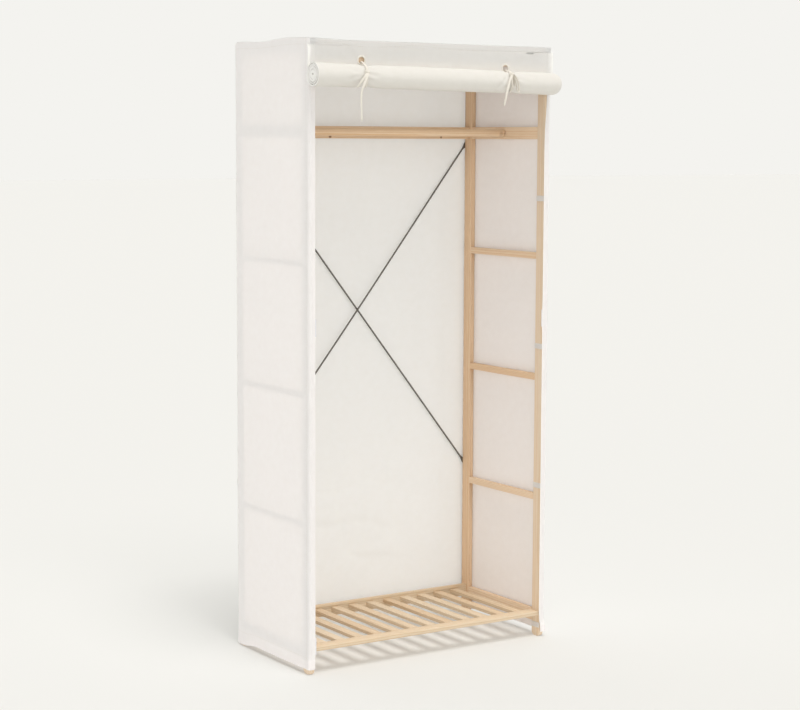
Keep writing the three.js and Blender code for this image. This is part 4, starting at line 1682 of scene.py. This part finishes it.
@dataclass
class Straps:
    """Hook-and-loop straps round the front posts, and the patches that hold the closed door."""

    finishes: Finishes
    thick: float = 1.0
    strap_height: float = 15.5
    post_inner: float = 380.0
    post_front: float = -162.38
    post_rear: float = -127.38
    wall_inner: float = 394.3
    clearance: float = 0.35
    corner: float = 1.6
    heights: tuple[float, ...] = (34.0, 444.84, 850.72, 1274.1)
    patch_plane: float = -164.2
    patches: tuple[tuple[Side, float, float], ...] = (
        (Side.LEFT, 918.0, 966.0), (Side.LEFT, 55.0, 102.0), (Side.RIGHT, 909.0, 958.0),
    )
    patch_outer: float = 394.0
    patch_inner: float = 374.5

    def build(self) -> None:
        """Makes the eight straps and the patches."""
        for side in Side:
            for number, _ in enumerate(self.heights, 1):
                self.strap(side, number)
        for number, (side, low, high) in enumerate(self.patches, 1):
            self.patch(number, side, low, high)

    def strap(self, side: Side, number: int) -> bpy.types.Object:
        """Bends one strap round the inner and rear faces of its post.

        Args:
            side: The post's side.
            number: The strap's number from the floor.

        Returns:
            The strap.
        """
        node = f"strap_{side.word}_{number}"
        lowest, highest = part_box(node)
        middle = (lowest.z + highest.z) / 2 / MM
        sign = side.value
        near = self.post_inner - self.clearance - self.thick / 2
        rear = self.post_rear + self.clearance + self.thick / 2
        stops = [(near, self.post_front - 0.4), (near, -150.0), (near - 0.3, -140.0), (near, rear - 2.5)]
        for turn in np.linspace(0, math.pi / 2, 4):
            stops.append((
                near + self.corner * (1 - math.cos(turn)), rear - self.corner + self.corner * math.sin(turn),
            ))
        stops += [(near + 4, rear), (near + 9, rear + 0.2), (self.wall_inner - 0.5, rear)]
        path = smooth_path([(sign * x, y, middle) for x, y in stops], 44)
        ahead = np.gradient(path, axis=0)
        facing = np.cross(ahead, (0.0, 0.0, 1.0))
        tilt = np.array([0.0, 0.0, 0.25 * math.sin(3.1 * number + sign)])
        piece = tape_piece(
            f"{node}_tape", [(path + tilt, facing, self.strap_height)], self.thick, self.finishes.strap_tape
        )
        return set_out(piece, WARDROBE, [node])

    def patch(self, number: int, side: Side, low: float, high: float) -> bpy.types.Object:
        """Lays one hook-and-loop patch on a flange.

        Args:
            number: The patch's number.
            side: The flange's side.
            low: The height of its lower edge.
            high: The height of its upper edge.

        Returns:
            The patch.
        """
        sign = side.value
        x, z = np.meshgrid(
            stations(self.patch_inner, self.patch_outer, 2.4), stations(low, high, 3.0)
        )
        lifted = 0.12 * wander(x, z, 14, number * 3.7)
        inward = step_up(self.patch_outer - x, 14, 20)
        middle = np.stack([sign * x, self.patch_plane + lifted + 0.4 * inward, z + 0.03 * (x - 384)], -1)
        if side is Side.LEFT:
            middle = middle[:, ::-1]
        piece = cloth_piece(
            f"hook_patch_{number}", middle, 0.55, self.finishes.hook_tape, np.stack([x, z], -1)
        )
        return set_out(piece, WARDROBE)


# The door


@dataclass
class DoorRoll:
    """Where the rolled door's axis runs, shared by the roll, the panel and the ties."""

    axis_y: float = -198.384
    axis_height: float = 1601.5
    droop: float = 11.0
    length: float = 810.0
    right_end: float = 393.0
    dome_start: float = 369.0
    dome_depth: float = 12.0
    panel_front: float = -166.084
    panel_back: float = -164.884
    radius: float = 32.0
    eyelet_spread: float = 236.0
    eyelet_above: tuple[float, float] = (42.5, 38.5)
    tie_slant: float = 20.0
    cinch_depth: float = 5.0
    cinch_reach: float = 18.0

    def height(self, x: np.ndarray | float) -> np.ndarray | float:
        """The axis's height at a place along the roll."""
        return self.axis_height - self.droop * x / self.length

    def forward(self, y: np.ndarray | float) -> np.ndarray | float:
        """How far a place lies in front of the hanging cloth, as a share of the roll's diameter."""
        return (self.panel_front - y) / (2 * self.radius)

    def eyelet_height(self, side: Side) -> float:
        """The height of an eyelet's middle."""
        return self.height(side.value * self.eyelet_spread) + side.pick(*self.eyelet_above)

    def tie_x(self, side: Side) -> float:
        """Where a tie draws the roll in."""
        return side.value * self.eyelet_spread - self.tie_slant / 2


@dataclass
class Door:
    """The cloth door: its hanging part below the seam, and the rest wound up in a roll."""

    finishes: Finishes
    stitches: StitchRows
    roll: DoorRoll
    thick: float = 0.8
    hem: float = 20.0
    hem_edge: float = 0.8
    core: float = 3.0
    turns: float = 15.3
    seam_height: float = 1684.5
    panel_plane: float = -165.5
    side_gap: float = 3.0
    stretch_top: float = 1627.0
    stretch_low: float = 1607.5
    eyelet_hole: float = 10.0
    creases: tuple[tuple[float, float, float, float, float, float], ...] = (
        (-252.0, 1615.0, -212.0, 1604.0, 3.4, 3.2), (-250.0, 1600.0, -214.0, 1584.0, 2.6, 2.8),
        (-270.0, 1613.0, -304.0, 1618.0, 3.0, 3.0), (-268.0, 1606.0, -318.0, 1592.0, 2.4, 3.6),
        (-258.0, 1602.0, -256.0, 1588.0, 3.6, 3.4), (206.0, 1614.0, 158.0, 1572.0, 3.2, 2.6),
        (222.0, 1612.0, 262.0, 1604.0, 2.4, 3.4), (228.0, 1606.0, 258.0, 1584.0, 2.2, 3.0),
        (204.0, 1618.0, 170.0, 1612.0, 2.0, 3.2),
    )

    def build(self) -> None:
        """Makes the hanging part and the roll."""
        self.panel()
        self.rolled()

    def panel(self) -> bpy.types.Object:
        """Makes the hanging part, which stretches down behind the roll when the door is let down.

        Returns:
            The cloth.
        """
        half = self.roll.length / 2 - self.side_gap
        hem_line = half - self.hem
        hem_foot = hem_line - self.hem_edge
        run = stations(-half, half, 6.0, [-hem_line, -hem_foot, hem_line, hem_foot])
        upper = np.linspace(self.seam_height, self.stretch_top, 18)
        zone = np.linspace(self.stretch_top, self.stretch_low, 54)[1:]
        lower = np.linspace(self.stretch_low, 1594.0, 5)[1:]
        heights = np.concatenate([upper, zone, lower])[::-1]
        x, z = np.meshgrid(run, heights)
        below = self.seam_height - z
        eased = step_up(below, 4, 22)
        relief = 0.55 * eased * wander(x, z, 60, 2.2)
        relief += 0.35 * eased * creased(0.6 * x + 1.1 * z, 0.4 * z, 55, 6.1)
        for side in Side:
            hole, level = side.value * self.roll.eyelet_spread, self.roll.eyelet_height(side)
            away = np.hypot(x - hole, z - level)
            pull = np.exp(-((away / 34) ** 2))
            spokes = 0.5 + 0.5 * np.cos(5 * np.arctan2(z - level, x - hole) + 1)
            relief = relief * (1 - pull) + 0.5 * pull * spokes * step_up(away, 12, 26)
        pucker = 0.3 * bump(below, 3, 7) * (1 + wander(x, 0 * x, 15, 4.4))
        y = self.panel_plane - np.clip(relief, -0.1, 2) - pucker - self._creases(x, z)
        middle = np.stack([x, y, z], -1)
        thick = self.thick + 0.5 * (1 - step_up(half - np.abs(x), self.hem, self.hem + self.hem_edge))
        flat = np.stack([x, z], -1)
        piece = cloth_piece("door_hanging_cloth", middle, thick, self.finishes.door_cloth, flat)
        for side in Side:
            self._cut_eyelet(piece, side)
        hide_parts("door_hanging_panel")
        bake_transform(piece)
        log.info("%s: %d faces between both bodies", piece.name, len(piece.data.polygons))
        above = heights > self.stretch_top + 6
        lift = np.array([0.0, -self.thick / 2 - 0.4, 0.0])
        rows = [middle[above, nearest(run, place)] + lift for place in (-hem_line - 2, hem_line + 2)]
        self.stitches.sew("door_side_stitches", rows, "door_cloth")
        return piece

    def _creases(self, x: np.ndarray, z: np.ndarray) -> np.ndarray:
        """The folds at the hanging cloth's left end, and the one that runs down to the left eyelet.

        Args:
            x: Places from left to right.
            z: Heights.

        Returns:
            How far the cloth stands forward, in millimetres.
        """
        below = self.seam_height - z
        line = -390 + 0.3 * below + 3 * np.sin(below / 9)
        folds = 1.8 * bump(x, line, 4.5) + 1.1 * bump(x, line + 13 - 0.2 * below, 4.0)
        curled = 3.2 * step_up(-x, 390, 402) * (0.6 + 0.4 * np.sin(below / 13))
        pulled = 0.9 * bump(x, -272 + 0.8 * (below + 5), 4.5) * (1 - step_up(below, 12, 24))
        dent = -0.8 * bump(x, 321, 16) * bump(below, 6, 9)
        return (folds + curled) * step_up(below, -2, 12) + pulled + dent

    def _cut_eyelet(self, piece: bpy.types.Object, side: Side) -> None:
        """Cuts the round hole for an eyelet.

        Args:
            piece: The hanging cloth.
            side: The eyelet's side.
        """
        x, z = side.value * self.roll.eyelet_spread, self.roll.eyelet_height(side)
        profile = [(self.eyelet_hole, -4.0), (self.eyelet_hole, 4.0)]
        cutter = turned_piece("eyelet_cutter", profile, (x, self.panel_plane, z), 1, self.finishes.eyelet, 28)
        cut = piece.modifiers.new("eyelet", "BOOLEAN")
        cut.operation = "DIFFERENCE"
        cut.solver = "EXACT"
        cut.object = cutter
        mesh = evaluated_mesh(piece)
        piece.modifiers.clear()
        piece.data = mesh
        bpy.data.objects.remove(cutter)
        while len(mesh.materials) > 1:
            mesh.materials.pop()
        finish_mesh(mesh, 50.0)

    def _wound(self, x: np.ndarray, turn: np.ndarray) -> np.ndarray:
        """Places the wound cloth's middle surface.

        Args:
            x: Places along the roll.
            turn: Turns from the back, down, round the front and over the top.

        Returns:
            The points, in millimetres.
        """
        roll = self.roll
        angle = 2 * np.pi * turn
        cinch, lean, gather = 0.0, 0.0, 0.0
        outside = np.clip(1 - turn / self.turns, 0, 1)
        for side in Side:
            away = x - roll.tie_x(side)
            cinch = cinch + np.exp(-((away / roll.cinch_reach) ** 2))
            lean = lean + np.exp(-((away / roll.cinch_reach) ** 2) / 4)
            spread = np.exp(-((away / 44) ** 2)) * (1 - 0.5 * np.exp(-((away / 5) ** 2)))
            phase = 2.4 * side.value + 0.9 * np.sin(away / 21) + 0.03 * away
            folds = np.abs(np.sin(4.5 * angle + phase)) ** 0.7
            folds = folds + 0.6 * np.abs(np.sin(6.5 * angle - phase)) ** 0.6
            gather = gather + spread * (1.1 - folds)
        slack = 0.45 * wander(x, 12 * np.sin(angle), 60, 14.0)
        slack = slack + 0.3 * wander(x + 40 * turn, 9 * np.cos(angle), 24, 4.0)
        plump = 0.45 * np.cos(2 * np.pi * (x + 10) / 470)
        inset = np.clip((x - roll.dome_start) / (roll.right_end - roll.dome_start), 0, 1)
        rounding = roll.dome_depth * (1 - np.sqrt(np.clip(1 - inset ** 2, 0, 1)))
        start = roll.radius - 0.55
        pitch = (start - self.core) / self.turns
        radius = (start - pitch * turn) * (1 - (roll.cinch_depth / roll.radius) * cinch)
        radius = radius + outside ** 2 * (slack - 2.2 * np.clip(gather, -0.2, 1) + plump - 0.5)
        radius = radius - outside ** 2 * self._dragged(x, roll.height(x) - radius * np.sin(angle), angle)
        radius = radius - rounding * outside
        y = roll.axis_y + radius * np.cos(angle)
        z = roll.height(x) - radius * np.sin(angle)
        return np.stack([x - roll.tie_slant * (roll.forward(y) - 0.5) * lean, y, z], -1)

    def _dragged(self, x: np.ndarray, z: np.ndarray, angle: np.ndarray) -> np.ndarray:
        """The creases that the ties drag across the roll's front, outwards from where each tie is knotted.

        Args:
            x: Places along the roll.
            z: Heights.
            angle: Angles round the roll.

        Returns:
            How deep each place lies in a crease, in millimetres.
        """
        deep = np.zeros_like(x)
        for from_x, from_z, to_x, to_z, depth, reach in self.creases:
            run = math.hypot(to_x - from_x, to_z - from_z)
            ahead, down = (to_x - from_x) / run, (to_z - from_z) / run
            along = (x - from_x) * ahead + (z - from_z) * down
            across = (x - from_x) * down - (z - from_z) * ahead
            shown = step_up(along, -4, 3) * (1 - step_up(along, 0.7 * run, run + 4))
            deep = deep + depth * shown * bump(across, 0, reach * (1 + 0.5 * np.clip(along / run, 0, 1)))
        return deep * (np.cos(angle) < 0.2)

    def rolled(self) -> bpy.types.Object:
        """Winds the roll, whose ends show its layers.

        Returns:
            The cloth.
        """
        half, end = self.roll.length / 2, self.roll.right_end
        marks = [-half + 1.5, -half + self.hem, self.roll.dome_start]
        marks += [end - reach for reach in (19, 14, 10, 7, 4.5, 2.5, 1.2, 0.4)]
        marks += [*np.linspace(-322, -210, 28), *np.linspace(156, 264, 27)]
        for side in Side:
            marks += [self.roll.tie_x(side) + place for place in (-7, -3.5, 0, 3.5, 7)]
        places = stations(-half, end, 13.0, marks)
        outer = np.linspace(0, 2, 97)
        inner = np.linspace(2, self.turns, 180)[1:]
        turn_row = np.concatenate([outer, inner])
        turn, x = np.meshgrid(turn_row, places)
        shifted = x + self._telescope(turn) * np.clip((np.abs(x) - (half - 60)) / 60, 0, 1) * -np.sign(x)
        middle = self._wound(shifted, turn)
        radii = np.hypot(middle[..., 1] - self.roll.axis_y, middle[..., 2] - self.roll.height(x))
        steps = np.diff(turn_row, prepend=0) * 2 * np.pi
        run = np.cumsum(np.broadcast_to(steps, turn.shape) * radii, axis=1)
        edge = np.minimum(half + x, end + 12 - x)
        hemmed = 0.45 * (1 - step_up(edge, self.hem - 0.5, self.hem + 0.5))
        packed = 0.6 * (1 - step_up(edge, 0.5, 2.5))
        thick, flat = self.thick + hemmed + packed, np.stack([x, run], -1)
        piece = cloth_piece("door_rolled_cloth", middle, thick, self.finishes.roll_cloth, flat)
        face_outward(piece.data)
        set_out(piece, ROLLED_DOOR, ["door_roll"])
        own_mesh(piece)
        return piece

    def _telescope(self, turn: np.ndarray) -> np.ndarray:
        """How far each turn is drawn into the roll's end, where three loose turns show as dark rings."""
        loose = bump(turn, 2.1, 0.55) + bump(turn, 5.4, 0.5) + bump(turn, 9.6, 0.5)
        return 6.0 * loose + 0.4 * np.sin(1.9 * turn)


@dataclass
class Ties:
    """Tapes through the eyelets and round the roll, knotted in front, and the eyelets themselves."""

    finishes: Finishes
    roll: DoorRoll
    width: float = 6.2
    thick: float = 0.9
    slack: float = 1.2
    knot_turns: tuple[float, float] = (0.05, 0.12)
    bore: float = 9.4
    knot_width: float = 5.2
    squash_keep: float = 0.1

    def build(self) -> None:
        """Makes both eyelets and both ties."""
        for side in Side:
            self.eyelet(side)
            self.knotted_loop(side)
        knot = self.knot_place(Side.LEFT)
        self.tail("left_short_end", knot, [
            (-4, -4, -3), (-12, -7, -12), (-26, -8, -27), (-35, -6, -40),
        ], Side.LEFT)
        self.tail("left_long_end", knot, [
            (-1, -5, -3), (-8, -8, -16), (-17, -8, -36), (-22, -5, -58), (-20, -2, -88), (-17, 0, -128),
        ], Side.LEFT)
        knot = self.knot_place(Side.RIGHT)
        self.tail("right_end", knot, [
            (-3, -5, -2), (-12, -9, -14), (-20, -12, -32), (-25, -11, -52), (-28, -9, -68), (-31, -7, -86),
        ], Side.RIGHT)
        self.bow("right_bow_inner", knot, [
            (-2, -5, -1), (-7, -9, -12), (-9, -12, -26), (-5, -13, -36),
            (1, -12, -32), (1, -9, -17), (-1, -4, -3),
        ])
        self.bow("right_bow_outer", knot, [
            (3, -5, -1), (9, -9, -12), (14, -13, -28), (15, -13, -45),
            (10, -12, -46), (7, -10, -26), (3, -4, -4),
        ])

    def reach(self) -> float:
        """How far the tape's middle lies from the roll's axis."""
        return self.roll.radius - self.roll.cinch_depth + self.slack + self.thick / 2

    def knot_place(self, side: Side) -> np.ndarray:
        """The middle of a tie's knot.

        Args:
            side: The tie's side.

        Returns:
            The point, in millimetres.
        """
        x = side.value * self.roll.eyelet_spread
        reach = self.reach() + self.thick / 2 + 1.8
        angle = 2 * math.pi * side.pick(*self.knot_turns)
        y = self.roll.axis_y - reach * math.cos(angle)
        z = self.roll.height(x) + reach * math.sin(angle)
        return np.array([x - self.roll.tie_slant * self.roll.forward(y), y, z])

    def eyelet(self, side: Side) -> bpy.types.Object:
        """Turns one eyelet, rounded on both faces.

        Args:
            side: The eyelet's side.

        Returns:
            The ring.
        """
        x, z = side.value * self.roll.eyelet_spread, self.roll.eyelet_height(side)
        lip, wide, edge = self.bore, self.bore + 4.4, 1.9
        profile = [
            (lip, -0.9), (lip + 0.5, -1.5), (lip + 1.5, -edge), (wide - 1.2, -1.55), (wide - 0.3, -1.25),
            (wide, -0.95), (wide - 0.2, -0.75), (lip + 0.8, -0.7), (lip + 0.8, 0.7), (wide - 0.2, 0.75),
            (wide, 0.95), (wide - 0.3, 1.25), (wide - 1.2, 1.5), (lip + 1.5, 1.6), (lip + 0.5, 1.4),
            (lip, 0.9),
        ]
        middle = (x, (self.roll.panel_front + self.roll.panel_back) / 2, z)
        piece = turned_piece(
            f"eyelet_{side.word}_ring", profile, middle, 1, self.finishes.eyelet, 36, looped=True
        )
        return set_out(piece, WARDROBE, [f"eyelet_{side.word}"])

    def loop_path(self, side: Side) -> np.ndarray:
        """The closed course of a tie: through the eyelet, round the roll and up behind the cloth.

        Args:
            side: The tie's side.

        Returns:
            The path's points, without a repeated end.
        """
        x = side.value * self.roll.eyelet_spread
        reach, axis = self.reach(), self.roll.height(x)
        front, back = self.roll.panel_front, self.roll.panel_back
        behind = back + 0.6 + 0.8 + self.thick / 2
        eyelet = self.roll.eyelet_height(side)

        def across(turn: float, share: float = 1.0) -> tuple[float, float]:
            """A point on the roll's front or underside."""
            angle = 2 * math.pi * turn
            return (
                self.roll.axis_y - share * reach * math.cos(angle), axis + share * reach * math.sin(angle)
            )

        stops = [
            across(0.0), across(0.11), across(0.2, 1.02),
            (front - self.bore, eyelet - 0.5 * self.bore), ((front + back) / 2, eyelet - 0.33 * self.bore),
            (behind + self.thick / 2, eyelet - 0.8 * self.bore), (behind, eyelet - 1.6 * self.bore),
            (behind, axis), (behind, axis - reach / 3), across(-0.36, 1.08), across(-0.25), across(-0.12),
        ]
        wrapped = [stops[-2], stops[-1], *stops, stops[0], stops[1]]
        course = smooth_path([(0.0, y, z) for y, z in wrapped], 360)
        first = int(np.linalg.norm(course[:120] - (0.0, *stops[0]), axis=1).argmin())
        last = 240 + int(np.linalg.norm(course[240:] - (0.0, *stops[0]), axis=1).argmin())
        path = course[first:last:3]
        path[:, 0] = x - self.roll.tie_slant * self.roll.forward(path[:, 1])
        return path

    def knotted_loop(self, side: Side) -> bpy.types.Object:
        """Makes a tie's loop with its knot.

        Args:
            side: The tie's side.

        Returns:
            The loop and knot as one piece.
        """
        path = self.loop_path(side)
        ahead = np.roll(path, -1, 0) - np.roll(path, 1, 0)
        facing = np.cross(ahead, (1.0, 0.0, 0.0))
        course = [(path, facing, self.width)]
        loop = tape_piece(f"tie_{side.word}_loop", course, self.thick, self.finishes.tie_tape, closed=True)
        knot = self.knot_place(side)
        turns = [
            [(-6.0, 2.4, 2.6), (-4.2, -1.6, 2.2), (0.0, -3.4, 0.4), (4.2, -1.6, -2.2), (5.6, 2.4, -3.2)],
            [(6.0, 2.4, 3.4), (3.8, -0.9, 2.6), (0.4, -2.4, 0.2), (-3.4, -0.8, -2.6), (-4.6, 2.2, -4.2)],
            [(-5.2, 1.6, -0.8), (-1.5, -1.4, -3.6), (2.8, -1.2, -3.4), (5.4, 1.6, 0.4)],
        ]
        wraps = []
        for stops in turns:
            line = smooth_path([tuple(knot + np.array(stop)) for stop in stops], 22)
            wraps.append((line, (line - knot) * 0.12 + np.array([0.0, -1.0, 0.0]), self.knot_width))
        bundle = tape_piece(f"tie_{side.word}_knot", wraps, 2.4, self.finishes.tie_tape)
        for piece in (loop, bundle):
            set_out(piece, WARDROBE, [f"tie_{side.word}"])
            self._flatten(piece)
        return loop

    def _flatten(self, piece: bpy.types.Object) -> None:
        """Gives a piece its own copy of its mesh."""
        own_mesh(piece)

    def tail(self, name: str, knot: np.ndarray, stops: Sequence[Point], side: Side) -> bpy.types.Object:
        """Hangs a loose end from a knot.

        Args:
            name: The piece's name.
            knot: The knot's middle.
            stops: Points down the tape, from the knot's middle.
            side: The tie's side.

        Returns:
            The loose end.
        """
        line = smooth_path([tuple(knot + np.array(stop)) for stop in stops], 48)
        share = np.linspace(0, 1, len(line))
        twist = 0.7 * np.sin(2.6 * share + side.value) * (1 - 0.3 * share) - side.pick(0.1, 1.1)
        facing = np.stack([np.sin(twist), -np.cos(twist), 0 * twist], 1)
        return self._hang(name, line, facing)

    def bow(self, name: str, knot: np.ndarray, stops: Sequence[Point]) -> bpy.types.Object:
        """Hangs a bow's loop from a knot.

        Args:
            name: The piece's name.
            knot: The knot's middle.
            stops: Points round the loop, from the knot's middle.

        Returns:
            The loop.
        """
        line = smooth_path([tuple(knot + np.array(stop)) for stop in stops], 56)
        ahead = np.gradient(line, axis=0)
        facing = np.cross(ahead, (0.0, -1.0, 0.0)) + np.array([0.0, -0.35, 0.0])
        return self._hang(name, line, facing)

    def _hang(self, name: str, line: np.ndarray, facing: np.ndarray) -> bpy.types.Object:
        """Args:
            name: The piece's name.
            line: Its middle line.
            facing: The way that its face looks at each point.

        Returns:
            The tape.
        """
        piece = tape_piece(name, [(line, facing, self.width)], self.thick, self.finishes.tie_tape)
        set_out(piece, WARDROBE)
        self._flatten(piece)
        return piece


# The studio


@dataclass(frozen=True)
class Studio:
    """A pale floor under an even sky, soft suns from the front, and the photograph's camera."""

    finishes: Finishes
    distance: float = 5.50235
    yaw: float = 33.1779
    pitch: float = 6.3283
    roll: float = 0.23725
    focal_pixels: float = 1931.14
    image_width: float = 800.0
    aside: float = 0.0189
    height: float = 0.8293
    shift: float = 0.036916
    floor_half: float = 60.0
    sky: str = "F4F3EF"
    zenith: float = 0.15
    boxes: tuple[tuple[float, float, float, float], ...] = (
        (-80.0, 0.0, 45.0, 0.6), (-20.0, 0.0, 45.0, 0.3), (50.0, 0.0, 45.0, 0.24),
        (180.0, 50.0, 40.0, 0.6), (105.0, 35.0, 40.0, 0.4),
    )
    sun_azimuth: float = -3.0
    sun_distance: float = 6.0
    sun_colour: str = "FFFDFA"
    suns: tuple[tuple[float, float, float], ...] = (
        (75.0, 26.0, 1.38), (62.0, 22.0, 0.48), (46.0, 16.0, 0.22),
    )

    def build(self) -> None:
        """Makes the floor, the lights and the camera."""
        self.floor()
        self.lights()
        self.camera()

    def floor(self) -> None:
        """Lays the floor."""
        half = self.floor_half
        mesh = bpy.data.meshes.new("studio_floor")
        corners = [(-half, -half, 0), (half, -half, 0), (half, half, 0), (-half, half, 0)]
        mesh.from_pydata(corners, [], [(0, 1, 2, 3)])
        mesh.materials.append(self.finishes.floor)
        placed("studio_floor", mesh)

    def lights(self) -> None:
        """Lights the studio: a wide soft sky, brighter in front, and soft suns from the front."""
        world = bpy.data.worlds.new("studio_sky")
        bpy.context.scene.world = world
        world.use_nodes = True
        tree = world.node_tree
        tree.nodes.clear()
        way = add_node(tree, "ShaderNodeTexCoord").outputs["Generated"]
        up = add_node(tree, "ShaderNodeSeparateXYZ", links={"Vector": way}).outputs["Z"]
        total = add_node(tree, "ShaderNodeMapRange", {"interpolation_type": "SMOOTHSTEP"}, {
            "Value": up, "From Min": 0.2, "From Max": 0.65, "To Min": 1.0, "To Max": self.zenith,
        })
        for azimuth, elevation, width, strength in self.boxes:
            facing = add_node(tree, "ShaderNodeVectorMath", {"operation": "DOT_PRODUCT"}, {
                0: way, 1: tuple(self.direction(azimuth, elevation)),
            })
            edge = math.cos(math.radians(width))
            box = add_node(tree, "ShaderNodeMapRange", {"interpolation_type": "SMOOTHSTEP"}, {
                "Value": facing, "From Min": edge, "From Max": 0.4 * edge + 0.6,
                "To Min": 0.0, "To Max": strength,
            })
            total = add_node(tree, "ShaderNodeMath", {"operation": "ADD"}, {0: total, 1: box})
        sky = add_node(tree, "ShaderNodeBackground", links={"Color": linear(self.sky), "Strength": total})
        add_node(tree, "ShaderNodeOutputWorld", links={"Surface": sky})
        for number, (elevation, angle, strength) in enumerate(self.suns, 1):
            light = bpy.data.lights.new(f"front_sun_{number}", "SUN")
            light.angle = math.radians(angle)
            light.energy = strength
            light.color = linear(self.sun_colour)[:3]
            lamp = placed(f"front_sun_{number}", light)
            toward = self.direction(self.sun_azimuth, elevation)
            lamp.rotation_euler = toward.to_track_quat("Z", "Y").to_euler()
            lamp.location = toward * self.sun_distance

    @staticmethod
    def direction(azimuth: float, elevation: float) -> Vector:
        """The way to a light: azimuth 0 is straight in front, and it grows to the right."""
        turn, high = math.radians(azimuth), math.radians(elevation)
        return Vector((math.sin(turn) * math.cos(high), -math.cos(turn) * math.cos(high), math.sin(high)))

    def camera(self) -> None:
        """Sets the camera where the photograph was taken from."""
        yaw, pitch, roll = (math.radians(part) for part in (self.yaw, self.pitch, self.roll))
        back = Vector((
            -math.sin(yaw) * math.cos(pitch), -math.cos(yaw) * math.cos(pitch), math.sin(pitch)
        ))
        right = Vector((math.cos(yaw), -math.sin(yaw), 0.0))
        up = back.cross(right)
        rolled = right * math.cos(roll) + up * math.sin(roll)
        raised = up * math.cos(roll) - right * math.sin(roll)
        target = Vector((0.0, self.shift, self.height)) + right * self.aside
        data = bpy.data.cameras.new("studio_camera")
        data.sensor_width = 36.0
        data.lens = self.focal_pixels * data.sensor_width / self.image_width
        camera = placed("studio_camera", data)
        turn = Matrix((rolled, raised, back)).transposed()
        camera.matrix_world = Matrix.Translation(target + back * self.distance) @ turn.to_4x4()
        bpy.context.scene.camera = camera


def main() -> None:
    """Builds the wardrobe, piece by piece."""
    logging.basicConfig(level=logging.INFO, format="%(name)s: %(message)s")
    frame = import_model()
    bpy.context.scene.view_settings.view_transform = "Standard"
    finishes = Finishes.build()
    Studio(finishes).build()
    stitches = StitchRows(finishes)
    roll = DoorRoll()
    PineFrame(finishes, frame["nodes"]).build()
    brace = CrossBrace(finishes)
    brace.build()
    ScrewHeads(finishes).drive("brace_screws", brace.screw_places())
    Cover(finishes, stitches).build()
    Straps(finishes).build()
    Door(finishes, stitches, roll).build()
    Ties(finishes, roll).build()


if __name__ == "__main__":
    main()
